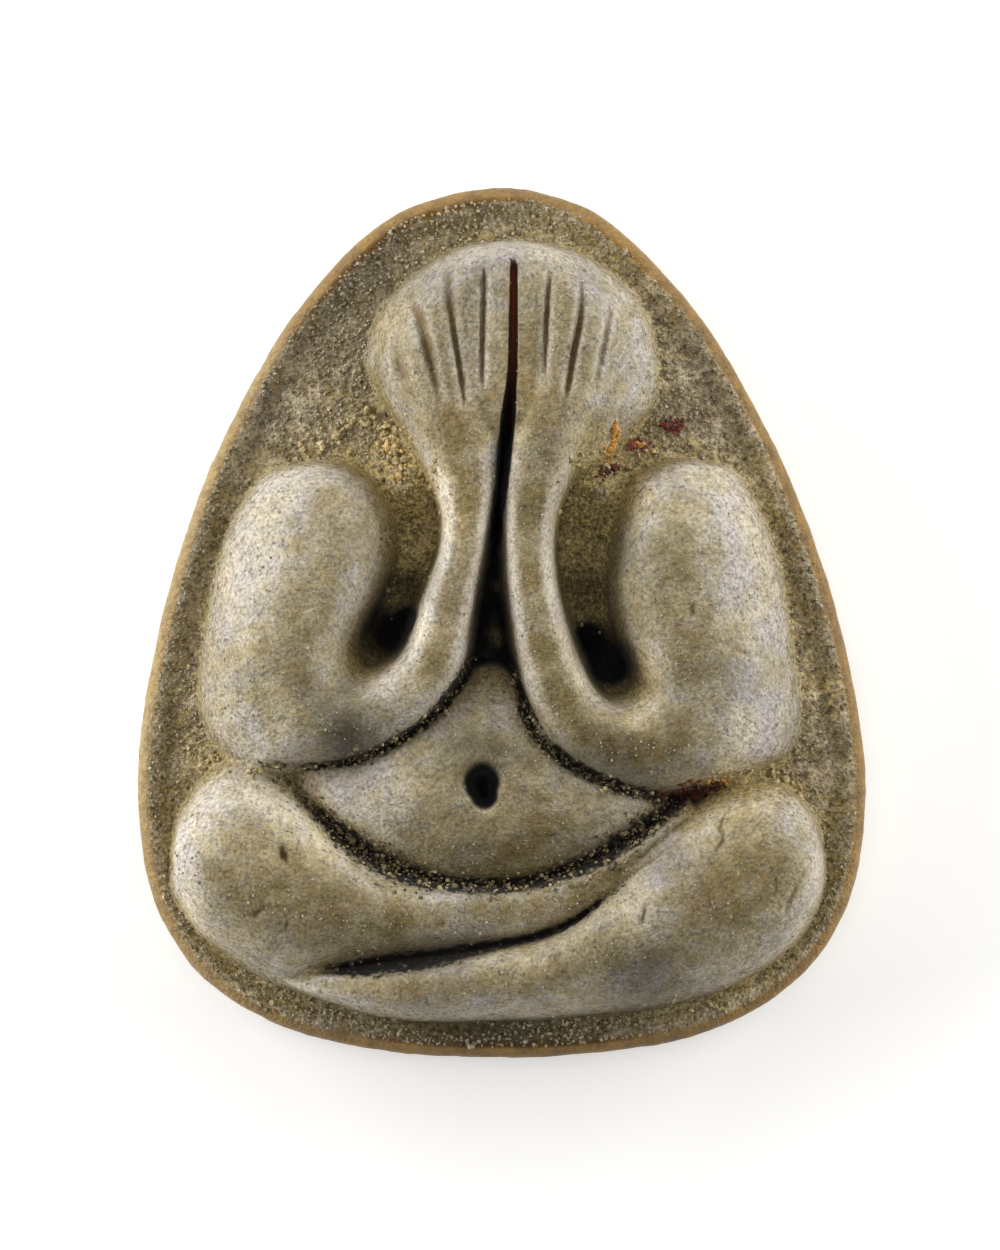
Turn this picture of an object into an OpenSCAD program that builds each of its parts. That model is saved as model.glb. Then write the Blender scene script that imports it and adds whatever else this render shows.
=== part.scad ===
// Pressed-powder amulet: an egg-shaped plate that carries a seated figure in high relief,
// with both hands raised to cover the face. The real thing is one pressed piece.
// Millimetres. X runs across, Y runs up towards the figure's head, Z runs up from the flat back.
// The origin is on the back, under the middle of the outline.

/* [Outline] */
// Width across the widest part of the amulet
amulet_w = 24; // [18:0.5:34]
// Height from the foot of the outline to its top
amulet_h = 28.7; // [22:0.1:40]

/* [Plate] */
// Thickness from the flat back to the sunk ground behind the figure
plate_t = 3.8; // [2.4:0.1:6]
// Radius of the rounded edge at the back
back_edge_r = 0.7; // [0.3:0.05:1]
// Radius of the rounded edge at the front, outside the rim
front_edge_r = 0.4; // [0.2:0.05:0.6]
// Width of the rim's flat top, inside its rounded edge
rim_flat_w = 0.15; // [0.05:0.05:0.5]
// Width of the slope from the rim's top down to the ground
rim_slope_w = 0.2; // [0.1:0.05:0.5]
// Height of the rim above the ground
rim_rise = 0.3; // [0.1:0.05:0.8]

/* [Figure] */
// Height of the highest relief above the ground
relief_h = 3.6; // [2.5:0.1:5]
// Roundness of the limbs' tops: more makes them flatter
limb_roundness = 2.2; // [2:0.1:4]
// Steepness of the limbs' sides: 0.5 is upright at the foot, and more leans inward
limb_edge = 0.6; // [0.5:0.05:0.8]
// Height over half width from which a slim limb's top gets flatter still
slim_ratio = 1.6; // [1.2:0.1:3]

/* [Hands] */
// Width of the grooves that part the fingers
finger_groove_w = 0.28; // [0.2:0.02:0.5]
// Depth of the grooves that part the fingers
finger_groove_d = 0.36; // [0.15:0.01:0.6]
// Width of the slit between the hands
slit_w = 0.42; // [0.3:0.02:0.6]
// Depth of the slit between the hands
slit_d = 2; // [1:0.1:2.5]

/* [Navel] */
// Width of the navel's mouth
navel_w = 1.2; // [0.6:0.05:1.6]
// Depth of the navel below the belly
navel_d = 1.8; // [0.6:0.1:2.6]

/* [Hidden] */

// Columns of OUTLINE: a point of the outline, in hundredths of amulet_w and amulet_h from the middle.
// It runs anticlockwise from the top, a little fuller on the left as pressed.
OUTLINE = [
    [  0.3,  50.0], [-11.6,  48.0], [-19.5,  43.8], [-26.3,  37.7], [-31.6,  31.5], [-37.5,  22.3],
    [-42.3,  12.9], [-46.0,   2.5], [-48.6,  -7.5], [-49.9, -16.0], [-49.7, -23.5], [-48.0, -31.0],
    [-44.9, -36.7], [-40.6, -41.0], [-34.0, -44.9], [-25.0, -47.8], [-13.0, -49.5], [  0.0, -50.0],
    [ 13.0, -49.5], [ 25.0, -47.8], [ 34.0, -44.9], [ 40.6, -41.0], [ 44.9, -36.7], [ 48.2, -31.0],
    [ 49.9, -23.5], [ 49.9, -16.0], [ 48.5,  -7.5], [ 45.6,   2.5], [ 41.4,  12.9], [ 36.4,  22.3],
    [ 30.2,  31.5], [ 24.9,  37.7], [ 18.0,  43.8], [ 10.6,  48.0]
];

// A limb's table has a row for each section across the limb, and these functions name its columns.
// Edge A is on the left hand of someone who walks down the table along the limb, and edge B on
// the right hand: two columns each, in hundredths of amulet_w and amulet_h from the middle.
function edge_a(row) = at([row[0], row[1]]);
function edge_b(row) = at([row[2], row[3]]);
// Then the height of the section's crest above the ground as a share of relief_h, and its place
// as a share of the way from edge A to edge B.
function crest(row) = relief_h * row[4];
function crest_at(row) = row[5];

// Each arm runs from the shoulder down to the elbow, round the crook, up the forearm and over
// the hand to the fingertips.
LEFT_ARM = [
    [-25.0,  18.4, -27.0,  18.2, 0.10, 0.50],
    [-21.5,  18.2, -31.5,  17.4, 0.42, 0.46],
    [-17.0,  16.0, -35.0,  14.5, 0.68, 0.42],
    [-14.6,  12.0, -37.5,  10.5, 0.84, 0.40],
    [-14.6,   7.5, -39.0,   6.0, 0.92, 0.38],
    [-16.4,   3.3, -40.2,   1.0, 0.95, 0.38],
    [-18.6,  -0.2, -41.2,  -4.0, 0.95, 0.40],
    [-19.6,  -2.8, -41.4,  -9.0, 0.93, 0.42],
    [-19.3,  -4.5, -39.6, -13.8, 0.91, 0.46],
    [-18.6,  -5.2, -34.6, -18.0, 0.90, 0.50],
    [-17.9,  -5.2, -28.4, -17.9, 0.89, 0.50],
    [-17.0,  -5.0, -22.2, -17.2, 0.88, 0.50],
    [-15.8,  -4.4, -16.4, -15.6, 0.88, 0.50],
    [-14.4,  -3.2, -11.0, -12.8, 0.88, 0.50],
    [-13.2,  -1.6,  -7.0,  -9.4, 0.88, 0.50],
    [-12.2,   0.6,  -4.5,  -5.4, 0.88, 0.50],
    [-11.2,   2.9,  -3.7,  -1.0, 0.88, 0.50],
    [ -9.9,   5.6,  -3.0,   3.0, 0.89, 0.50],
    [ -8.7,   8.6,  -1.9,   7.5, 0.90, 0.50],
    [ -8.4,  12.2,  -0.9,  11.8, 0.91, 0.50],
    [ -9.6,  15.4,   0.3,  15.6, 0.93, 0.50],
    [-11.9,  19.0,   1.6,  19.0, 0.95, 0.50],
    [-13.9,  22.3,   2.4,  22.0, 0.96, 0.50],
    [-16.3,  25.5,   3.0,  25.5, 0.98, 0.50],
    [-17.6,  29.5,   3.2,  29.5, 0.99, 0.50],
    [-16.6,  34.0,   3.2,  34.5, 0.97, 0.50],
    [-13.0,  38.2,   3.2,  38.5, 0.90, 0.50],
    [ -9.0,  40.6,   3.0,  41.0, 0.70, 0.50],
    [ -5.0,  42.0,   2.8,  42.3, 0.40, 0.50]
];
RIGHT_ARM = [
    [ 27.0,  18.6,  25.0,  18.7, 0.10, 0.50],
    [ 31.5,  17.6,  21.0,  18.1, 0.42, 0.54],
    [ 34.8,  14.0,  17.6,  16.0, 0.68, 0.58],
    [ 37.0,  10.0,  15.7,  12.0, 0.84, 0.60],
    [ 38.4,   5.5,  14.7,   7.5, 0.92, 0.62],
    [ 39.4,   1.0,  14.6,   3.1, 0.95, 0.62],
    [ 40.2,  -4.0,  15.6,  -0.7, 0.95, 0.60],
    [ 40.9,  -8.5,  16.8,  -3.4, 0.93, 0.58],
    [ 40.7, -12.8,  17.7,  -5.2, 0.92, 0.54],
    [ 38.4, -15.8,  17.9,  -6.6, 0.91, 0.50],
    [ 33.2, -17.8,  17.6,  -7.6, 0.90, 0.50],
    [ 28.0, -18.9,  17.0,  -8.2, 0.89, 0.50],
    [ 23.0, -19.8,  16.2,  -8.4, 0.88, 0.50],
    [ 18.3, -19.6,  15.3,  -8.4, 0.87, 0.50],
    [ 12.8, -18.2,  14.3,  -8.1, 0.87, 0.50],
    [  7.9, -15.6,  13.1,  -6.9, 0.87, 0.50],
    [  4.7, -12.2,  12.0,  -5.2, 0.88, 0.50],
    [  2.8,  -8.4,  11.0,  -3.3, 0.88, 0.50],
    [  1.7,  -4.5,   9.8,  -0.8, 0.88, 0.50],
    [  0.9,  -0.5,   8.8,   1.8, 0.88, 0.50],
    [  0.2,   4.0,   7.9,   5.0, 0.89, 0.50],
    [ -0.2,   8.5,   7.5,   8.8, 0.90, 0.50],
    [ -0.4,  12.8,   8.0,  12.4, 0.92, 0.50],
    [ -0.8,  16.0,   9.5,  15.8, 0.94, 0.50],
    [ -1.2,  19.5,  11.6,  19.4, 0.96, 0.50],
    [ -1.2,  23.0,  14.0,  22.8, 0.96, 0.50],
    [ -1.0,  27.0,  16.9,  26.8, 0.98, 0.50],
    [  0.0,  31.5,  18.6,  31.3, 0.99, 0.50],
    [  0.4,  35.5,  18.0,  35.3, 0.96, 0.50],
    [  0.6,  39.0,  14.4,  38.8, 0.88, 0.50],
    [  0.8,  41.2,  10.8,  41.0, 0.68, 0.50],
    [  1.2,  42.4,   7.0,  42.2, 0.40, 0.50]
];

// A dome joins both hands over the face, from between the wrists up to the fingertips.
HANDS = [
    [ -9.6,  17.0,   9.6,  17.0, 0.30, 0.50],
    [-11.2,  19.0,  11.3,  19.2, 0.64, 0.50],
    [-13.6,  22.0,  13.4,  22.2, 0.85, 0.50],
    [-16.0,  25.0,  15.8,  25.3, 0.93, 0.50],
    [-17.9,  28.0,  17.8,  28.3, 0.95, 0.50],
    [-18.5,  31.0,  19.3,  31.4, 0.96, 0.50],
    [-17.4,  34.4,  19.4,  34.9, 0.95, 0.50],
    [-15.1,  37.3,  17.5,  38.0, 0.94, 0.50],
    [-12.0,  39.8,  14.3,  40.6, 0.92, 0.50],
    [ -8.8,  41.8,  10.7,  42.4, 0.84, 0.50],
    [ -5.0,  43.1,   6.5,  43.3, 0.60, 0.50],
    [ -1.0,  43.7,   3.0,  43.8, 0.20, 0.50]
];

// The head shows only beside the right hand, as a lower dome with the cheek and ear.
HEAD = [
    [  0.0,  15.2,   9.0,  15.4, 0.30, 0.50],
    [ -1.0,  18.2,  14.0,  18.3, 0.58, 0.50],
    [ -2.0,  22.0,  18.2,  22.1, 0.70, 0.50],
    [ -3.5,  25.0,  20.8,  24.8, 0.74, 0.50],
    [ -4.0,  28.0,  21.6,  28.4, 0.76, 0.50],
    [ -4.0,  31.4,  21.2,  31.6, 0.76, 0.50],
    [ -4.0,  34.6,  20.2,  34.8, 0.75, 0.50],
    [ -2.0,  38.0,  17.4,  38.3, 0.68, 0.50],
    [  1.0,  41.0,  11.5,  41.2, 0.40, 0.50]
];

// The belly runs from its left point to its right one, under both elbows. A is its upper edge.
BELLY = [
    [-29.5, -15.8, -29.5, -19.6, 0.26, 0.50],
    [-25.0, -13.4, -25.0, -23.4, 0.50, 0.50],
    [-20.0, -11.8, -20.0, -26.8, 0.64, 0.50],
    [-15.0,  -9.8, -15.0, -29.3, 0.72, 0.50],
    [-10.0,  -7.2, -10.0, -30.8, 0.76, 0.50],
    [ -6.0,  -5.9,  -6.0, -31.3, 0.78, 0.50],
    [ -2.0,  -4.6,  -2.0, -31.5, 0.78, 0.50],
    [  2.0,  -5.6,   2.0, -31.4, 0.78, 0.50],
    [  6.0,  -8.2,   6.0, -30.7, 0.76, 0.50],
    [ 10.0, -11.4,  10.0, -29.4, 0.72, 0.50],
    [ 15.0, -13.8,  15.0, -27.0, 0.64, 0.50],
    [ 19.0, -15.6,  19.0, -24.8, 0.50, 0.50],
    [ 22.8, -17.8,  22.8, -22.0, 0.26, 0.50]
];

// Each leg runs from its knee along the shin to the foot. The right one lies in front.
LEFT_LEG = [
    [-45.0, -26.2, -45.1, -29.8, 0.35, 0.50],
    [-44.0, -21.8, -44.3, -32.2, 0.70, 0.50],
    [-41.0, -18.0, -41.5, -35.6, 0.90, 0.50],
    [-37.3, -15.4, -37.6, -38.2, 0.96, 0.50],
    [-33.5, -14.8, -33.4, -40.6, 0.96, 0.50],
    [-30.0, -16.9, -29.0, -42.0, 0.94, 0.50],
    [-26.2, -20.2, -25.0, -40.5, 0.90, 0.50],
    [-22.0, -23.5, -20.5, -39.6, 0.84, 0.50],
    [-17.5, -26.2, -15.0, -38.8, 0.79, 0.50],
    [-12.0, -28.2,  -9.0, -38.2, 0.74, 0.50],
    [ -6.0, -29.1,  -3.0, -37.4, 0.70, 0.50],
    [  0.0, -29.3,   3.0, -36.7, 0.67, 0.50],
    [  5.2, -28.8,   8.4, -35.6, 0.65, 0.50],
    [ 10.0, -27.6,  12.9, -33.6, 0.64, 0.50],
    [ 14.4, -26.0,  16.9, -31.1, 0.62, 0.50],
    [ 18.3, -24.2,  20.5, -28.4, 0.60, 0.50],
    [ 22.2, -21.9,  24.0, -25.4, 0.54, 0.50],
    [ 25.6, -20.2,  27.0, -22.6, 0.36, 0.50]
];
RIGHT_LEG = [
    [ 44.3, -29.7,  44.2, -26.0, 0.35, 0.50],
    [ 43.1, -33.2,  42.9, -22.2, 0.70, 0.50],
    [ 40.4, -36.6,  40.0, -19.4, 0.90, 0.50],
    [ 36.3, -39.5,  36.3, -18.1, 0.96, 0.50],
    [ 31.5, -41.8,  32.0, -18.5, 0.96, 0.50],
    [ 26.5, -43.2,  27.8, -20.0, 0.94, 0.50],
    [ 21.0, -44.3,  23.2, -22.5, 0.91, 0.50],
    [ 15.0, -44.9,  19.2, -25.5, 0.88, 0.50],
    [  9.0, -45.3,  15.2, -28.9, 0.85, 0.50],
    [  4.0, -45.6,  10.8, -32.7, 0.82, 0.50],
    [ -1.0, -45.7,   5.2, -35.3, 0.79, 0.50],
    [ -6.5, -45.8,  -1.2, -36.4, 0.76, 0.50],
    [-12.0, -45.7,  -8.2, -37.4, 0.72, 0.50],
    [-17.5, -45.1, -14.7, -38.2, 0.64, 0.50],
    [-22.0, -44.0, -20.6, -39.2, 0.54, 0.50],
    [-26.5, -42.7, -25.9, -39.6, 0.44, 0.50],
    [-31.0, -41.2, -30.6, -39.4, 0.28, 0.50]
];

// A cut's table has a row for each point along it: its place in hundredths of amulet_w and
// amulet_h from the middle, and the hand's height above the ground there as a share of relief_h.
function mouth_z(row) = plate_t + relief_h * row[2];
FINGER_GROOVES = [
    [[ -2.3,  40.8, 0.88], [ -2.5,  36.0, 0.93], [ -2.6,  31.0, 0.95], [ -2.4,  27.3, 0.94]],
    [[ -7.2,  39.8, 0.73], [ -7.0,  36.0, 0.95], [ -6.4,  31.5, 0.99], [ -4.9,  24.6, 0.97]],
    [[-12.0,  36.9, 0.65], [-10.9,  33.2, 0.91], [ -9.9,  30.0, 0.96], [ -8.8,  27.2, 0.98]],
    [[-14.2,  29.9, 0.73], [-13.3,  27.6, 0.78]],
    [[  6.5,  38.8, 0.88], [  6.2,  35.0, 0.92], [  6.0,  31.5, 0.93], [  5.5,  27.6, 0.95]],
    [[ 10.8,  36.8, 0.92], [ 10.5,  33.5, 0.98], [  9.8,  30.8, 0.99], [  8.9,  26.5, 0.97]],
    [[ 15.4,  35.8, 0.65], [ 14.1,  32.5, 0.86], [ 13.5,  29.5, 0.87], [ 12.8,  26.6, 0.82]]
];
HAND_SLIT = [
    [ 1.7, 41.0, 0.91], [ 1.7, 38.0, 0.94], [ 1.6, 34.0, 0.95], [ 1.5, 28.5, 0.95], [ 1.2, 25.5, 0.93],
    [ 0.9, 23.1, 0.89], [ 0.5, 19.5, 0.78], [ 0.1, 16.0, 0.66], [-0.5, 12.4, 0.57]
];

// Middle of the navel's mouth and of its narrower lower end, in hundredths as above.
NAVEL_TOP = [-2.6, -18.3];
NAVEL_TIP = [-2.5, -19.9];
// Width of the narrow end as a share of the mouth's, width of the floor as a share of the
// mouth's, and the belly's height above the ground round the mouth as a share of relief_h.
NAVEL_TIP_SHARE = 0.67;
NAVEL_FLOOR_SHARE = 0.7;
NAVEL_CREST_SHARE = 0.78;

// How deep the figure is rooted in the plate, as a share of plate_t.
ROOT_SHARE = 0.5;
// How many times limb_roundness the roundness of the slimmest section may reach.
SLIM_LIMIT = 3;

// Spline steps between two rows of a table, and facets across a limb and round an edge.
OUTLINE_STEPS = 3;
LIMB_STEPS = 2;
HEAD_STEPS = 3;
LIMB_FACETS = 12;
HEAD_FACETS = 16;
EDGE_FACETS = 3;
// How far a cutter reaches above the hands' own surface.
CLEAR = 1;
// Width of a trench's floor, as a share of its mouth's.
TRENCH_FLOOR_SHARE = 0.3;

// A point given in hundredths of the amulet's width and height, in millimetres.
function at(p) = [p[0] * amulet_w / 100, p[1] * amulet_h / 100];

// Point t of the way from b to c on the smooth curve through a, b, c and d.
function blend(a, b, c, d, t) =
    0.5 * (2 * b + (c - a) * t + (2 * a - 5 * b + 4 * c - d) * t * t + (3 * b - a - 3 * c + d) * t * t * t);

// An open table of rows, made finer along a smooth curve through them.
function fine_rows(rows, steps) =
    let (last = len(rows) - 1)
    [for (i = [0 : last - 1], k = [0 : steps - (i == last - 1 ? 0 : 1)])
        blend(rows[max(i - 1, 0)], rows[i], rows[i + 1], rows[min(i + 2, last)], k / steps)];

// The same for a closed curve.
function fine_loop(points, steps) =
    let (n = len(points))
    [for (i = [0 : n - 1], k = [0 : steps - 1])
        blend(points[(i + n - 1) % n], points[i], points[(i + 1) % n], points[(i + 2) % n], k / steps)];

outline = [for (p = fine_loop(OUTLINE, OUTLINE_STEPS)) at(p)];

// The outline's inward direction at point i.
function inward(i) =
    let (
        n = len(outline),
        along = outline[(i + 1) % n] - outline[(i + n - 1) % n]
    )
    [-along[1], along[0]] / norm(along);

// The outline drawn in by d, at height z.
function ring(d, z) = [for (i = [0 : len(outline) - 1]) let (p = outline[i] + d * inward(i)) [p[0], p[1], z]];

// Skin of a stack of rings that have the same number of points, each closed on itself.
module skin(rings) {
    n = len(rings[0]);
    last = len(rings) - 1;
    polyhedron(
        points = [for (r = rings) each r],
        faces = concat(
            [[for (i = [0 : n - 1]) i]],
            [for (k = [0 : last - 1], i = [0 : n - 1])
                let (j = (i + 1) % n)
                each [
                    [k * n + i, (k + 1) * n + j, k * n + j],
                    [k * n + i, (k + 1) * n + i, (k + 1) * n + j]
                ]],
            [[for (i = [0 : n - 1]) last * n + n - 1 - i]]
        ),
        convexity = 10
    );
}

// Roundness of the section at a row: a slim and tall one has a flatter top and steeper sides.
function roundness(row) =
    let (half_w = norm(edge_b(row) - edge_a(row)) / 2, tallness = crest(row) / half_w)
    limb_roundness * min(SLIM_LIMIT, max(1, tallness / slim_ratio));

// Height of a section t of the way across it, as a share of its crest.
function swell(row, t) =
    let (
        top = crest_at(row),
        away = t < top ? 1 - t / top : (t - top) / (1 - top)
    )
    pow(max(0, 1 - pow(away, roundness(row))), limb_edge);

// A section across a limb: from its root under edge A, over the crest, to its root under edge B.
function section(row, facets) =
    let (
        a = edge_a(row),
        b = edge_b(row),
        root = plate_t * (1 - ROOT_SHARE)
    )
    concat(
        [[a[0], a[1], root]],
        [for (k = [0 : facets])
            let (t = (1 - cos(180 * k / facets)) / 2, p = a + (b - a) * t)
            [p[0], p[1], plate_t + crest(row) * swell(row, t)]],
        [[b[0], b[1], root]]
    );

// The part of the figure that a table of sections describes.
module relief(rows, steps, facets) {
    skin([for (row = fine_rows(rows, steps)) section(row, facets)]);
}

// Egg-shaped plate: flat back, rounded edges, and a rim that stands round the sunk ground.
module plate() {
    rim_top = plate_t + rim_rise;
    slope_at = front_edge_r + rim_flat_w;
    skin(concat(
        [for (k = [0 : EDGE_FACETS])
            let (a = 90 * k / EDGE_FACETS)
            ring(back_edge_r * (1 - sin(a)), back_edge_r * (1 - cos(a)))],
        [for (k = [0 : EDGE_FACETS])
            let (a = 90 * k / EDGE_FACETS)
            ring(front_edge_r * (1 - cos(a)), rim_top - front_edge_r * (1 - sin(a)))],
        [ring(slope_at, rim_top), ring(slope_at + rim_slope_w, plate_t)]
    ));
}

module head() {
    relief(HEAD, HEAD_STEPS, HEAD_FACETS);
}

module hands() {
    relief(HANDS, HEAD_STEPS, HEAD_FACETS);
}

module belly() {
    relief(BELLY, LIMB_STEPS, LIMB_FACETS);
}

module arms() {
    relief(LEFT_ARM, LIMB_STEPS, LIMB_FACETS);
    relief(RIGHT_ARM, LIMB_STEPS, LIMB_FACETS);
}

module legs() {
    relief(LEFT_LEG, LIMB_STEPS, LIMB_FACETS);
    relief(RIGHT_LEG, LIMB_STEPS, LIMB_FACETS);
}

// Cutter along a table of points, which leaves a tapering trench of the given width and depth.
module trench(points, width, depth) {
    last = len(points) - 1;
    skin([for (i = [0 : last])
        let (
            p = at(points[i]),
            along = at(points[min(i + 1, last)]) - at(points[max(i - 1, 0)]),
            side = width / 2 * [along[1], -along[0]] / norm(along),
            foot = TRENCH_FLOOR_SHARE * side,
            top = (1 + (1 - TRENCH_FLOOR_SHARE) * CLEAR / depth) * side,
            floor_z = mouth_z(points[i]) - depth,
            top_z = mouth_z(points[i]) + CLEAR
        )
        [
            [p[0] - foot[0], p[1] - foot[1], floor_z],
            [p[0] - top[0], p[1] - top[1], top_z],
            [p[0] + top[0], p[1] + top[1], top_z],
            [p[0] + foot[0], p[1] + foot[1], floor_z]
        ]]);
}

module finger_grooves() {
    for (groove = FINGER_GROOVES)
        trench(groove, finger_groove_w, finger_groove_d);
}

module hand_slit() {
    trench(HAND_SLIT, slit_w, slit_d);
}

// A tapered hole, drawn out to a narrow lower end. Its cutter reaches as far above the belly
// as below it.
module navel() {
    floor_z = plate_t + relief_h * NAVEL_CREST_SHARE - navel_d;
    hull()
        for (end = [[NAVEL_TOP, navel_w / 2], [NAVEL_TIP, NAVEL_TIP_SHARE * navel_w / 2]]) {
            xy = at(end[0]);
            mouth_r = end[1];
            floor_r = NAVEL_FLOOR_SHARE * mouth_r;
            translate([xy[0], xy[1], floor_z])
                cylinder(h = 2 * navel_d, r1 = floor_r, r2 = 2 * mouth_r - floor_r, $fn = 24);
        }
}

module amulet() {
    color([0.58, 0.52, 0.42])
        difference() {
            union() {
                plate();
                head();
                hands();
                belly();
                arms();
                legs();
            }
            finger_grooves();
            hand_slit();
            navel();
        }
}

amulet();
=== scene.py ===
"""A pressed-powder amulet lying on its back, seen straight from the front.

The relief is a height field over the amulet's outline. It is laid out from the same tables
of limb sections as the construction, then worn smooth, grooved, pitted and gritted, and
meshed together with its rim, side and back. Lengths are millimetres until a mesh is made.
"""

import math
from types import SimpleNamespace

import bmesh
import bpy
import numpy as np
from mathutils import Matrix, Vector


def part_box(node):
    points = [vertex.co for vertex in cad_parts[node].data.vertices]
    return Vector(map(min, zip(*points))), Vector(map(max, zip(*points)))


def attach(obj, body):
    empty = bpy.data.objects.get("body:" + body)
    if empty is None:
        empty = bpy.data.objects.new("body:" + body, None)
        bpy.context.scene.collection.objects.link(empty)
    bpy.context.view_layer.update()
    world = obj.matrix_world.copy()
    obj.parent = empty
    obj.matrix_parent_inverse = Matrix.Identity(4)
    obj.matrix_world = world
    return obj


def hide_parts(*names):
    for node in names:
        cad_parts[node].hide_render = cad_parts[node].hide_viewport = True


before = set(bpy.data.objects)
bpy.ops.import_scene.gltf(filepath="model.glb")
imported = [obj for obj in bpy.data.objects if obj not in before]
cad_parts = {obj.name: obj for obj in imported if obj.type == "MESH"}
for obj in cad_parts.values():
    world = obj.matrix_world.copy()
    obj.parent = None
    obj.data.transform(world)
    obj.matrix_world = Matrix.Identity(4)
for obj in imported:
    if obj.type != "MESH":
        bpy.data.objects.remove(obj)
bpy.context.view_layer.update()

MM = 0.001
SEED = 7

# Driving sizes, as the construction has them
PLATE_T = 3.8
BACK_EDGE_R = 0.7
FRONT_EDGE_R = 0.4
RIM_FLAT_W = 0.15
RIM_SLOPE_W = 0.2
RIM_RISE = 0.3
RELIEF_H = 3.6
LIMB_ROUNDNESS = 2.2
LIMB_EDGE = 0.6
SLIM_RATIO = 1.6
SLIT_D = 2.0
NAVEL_D = 1.8

# Points of the outline, in hundredths of the amulet's width and height from its middle
OUTLINE = [
    [0.3, 50], [-11.6, 48], [-19.5, 43.8], [-26.3, 37.7], [-31.6, 31.5], [-37.5, 22.3], [-42.3, 12.9],
    [-46, 2.5], [-48.6, -7.5], [-49.9, -16], [-49.7, -23.5], [-48, -31], [-44.9, -36.7], [-40.6, -41],
    [-34, -44.9], [-25, -47.8], [-13, -49.5], [0, -50], [13, -49.5], [25, -47.8], [34, -44.9], [40.6, -41],
    [44.9, -36.7], [48.2, -31], [49.9, -23.5], [49.9, -16], [48.5, -7.5], [45.6, 2.5], [41.4, 12.9],
    [36.4, 22.3], [30.2, 31.5], [24.9, 37.7], [18, 43.8], [10.6, 48],
]

# A limb's row is a section across it: edge A's x and y, and edge B's x and y in hundredths,
# the crest's height as a share of RELIEF_H and, if not half way, its place from A to B as a share
LEFT_ARM = [
    [-25, 18.4, -27, 18.2, 0.1], [-21.5, 18.2, -31.5, 17.4, 0.42, 0.46], [-17, 16, -35, 14.5, 0.68, 0.42],
    [-14.6, 12, -37.5, 10.5, 0.84, 0.4], [-14.6, 7.5, -39, 6, 0.92, 0.38],
    [-16.4, 3.3, -40.2, 1, 0.95, 0.38], [-18.6, -0.2, -41.2, -4, 0.95, 0.4],
    [-19.6, -2.8, -41.4, -9, 0.93, 0.42], [-19.3, -4.5, -39.6, -13.8, 0.91, 0.46],
    [-18.6, -5.2, -34.6, -18, 0.9], [-17.9, -5.2, -28.4, -17.9, 0.89], [-17, -5, -22.2, -17.2, 0.88],
    [-15.8, -4.4, -16.4, -15.6, 0.88], [-14.4, -3.2, -11, -12.8, 0.88], [-13.2, -1.6, -7, -9.4, 0.88],
    [-12.2, 0.6, -4.5, -5.4, 0.88], [-11.2, 2.9, -3.7, -1, 0.88], [-9.9, 5.6, -3, 3, 0.89],
    [-8.7, 8.6, -1.9, 7.5, 0.9], [-8.4, 12.2, -0.9, 11.8, 0.91], [-9.6, 15.4, 0.3, 15.6, 0.93],
    [-11.9, 19, 1.6, 19, 0.95], [-13.9, 22.3, 2.4, 22, 0.96], [-16.3, 25.5, 3, 25.5, 0.98],
    [-17.6, 29.5, 3.2, 29.5, 0.99], [-16.6, 34, 3.2, 34.5, 0.97], [-13, 38.2, 3.2, 38.5, 0.9],
    [-9, 40.6, 3, 41, 0.7], [-5, 42, 2.8, 42.3, 0.4],
]
RIGHT_ARM = [
    [27, 18.6, 25, 18.7, 0.1], [31.5, 17.6, 21, 18.1, 0.42, 0.54], [34.8, 14, 17.6, 16, 0.68, 0.58],
    [37, 10, 15.7, 12, 0.84, 0.6], [38.4, 5.5, 14.7, 7.5, 0.92, 0.62], [39.4, 1, 14.6, 3.1, 0.95, 0.62],
    [40.2, -4, 15.6, -0.7, 0.95, 0.6], [40.9, -8.5, 16.8, -3.4, 0.93, 0.58],
    [40.7, -12.8, 17.7, -5.2, 0.92, 0.54], [38.4, -15.8, 17.9, -6.6, 0.91], [33.2, -17.8, 17.6, -7.6, 0.9],
    [28, -18.9, 17, -8.2, 0.89], [23, -19.8, 16.2, -8.4, 0.88], [18.3, -19.6, 15.3, -8.4, 0.87],
    [12.8, -18.2, 14.3, -8.1, 0.87], [7.9, -15.6, 13.1, -6.9, 0.87], [4.7, -12.2, 12, -5.2, 0.88],
    [2.8, -8.4, 11, -3.3, 0.88], [1.7, -4.5, 9.8, -0.8, 0.88], [0.9, -0.5, 8.8, 1.8, 0.88],
    [0.2, 4, 7.9, 5, 0.89], [-0.2, 8.5, 7.5, 8.8, 0.9], [-0.4, 12.8, 8, 12.4, 0.92],
    [-0.8, 16, 9.5, 15.8, 0.94], [-1.2, 19.5, 11.6, 19.4, 0.96], [-1.2, 23, 14, 22.8, 0.96],
    [-1, 27, 16.9, 26.8, 0.98], [0, 31.5, 18.6, 31.3, 0.99], [0.4, 35.5, 18, 35.3, 0.96],
    [0.6, 39, 14.4, 38.8, 0.88], [0.8, 41.2, 10.8, 41, 0.68], [1.2, 42.4, 7, 42.2, 0.4],
]
HANDS = [
    [-9.6, 17, 9.6, 17, 0.3], [-11.2, 19, 11.3, 19.2, 0.64], [-13.6, 22, 13.4, 22.2, 0.85],
    [-16, 25, 15.8, 25.3, 0.93], [-17.9, 28, 17.8, 28.3, 0.95], [-18.5, 31, 19.3, 31.4, 0.96],
    [-17.4, 34.4, 19.4, 34.9, 0.95], [-15.1, 37.3, 17.5, 38, 0.94], [-12, 39.8, 14.3, 40.6, 0.92],
    [-8.8, 41.8, 10.7, 42.4, 0.84], [-5, 43.1, 6.5, 43.3, 0.6], [-1, 43.7, 3, 43.8, 0.2],
]
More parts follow.
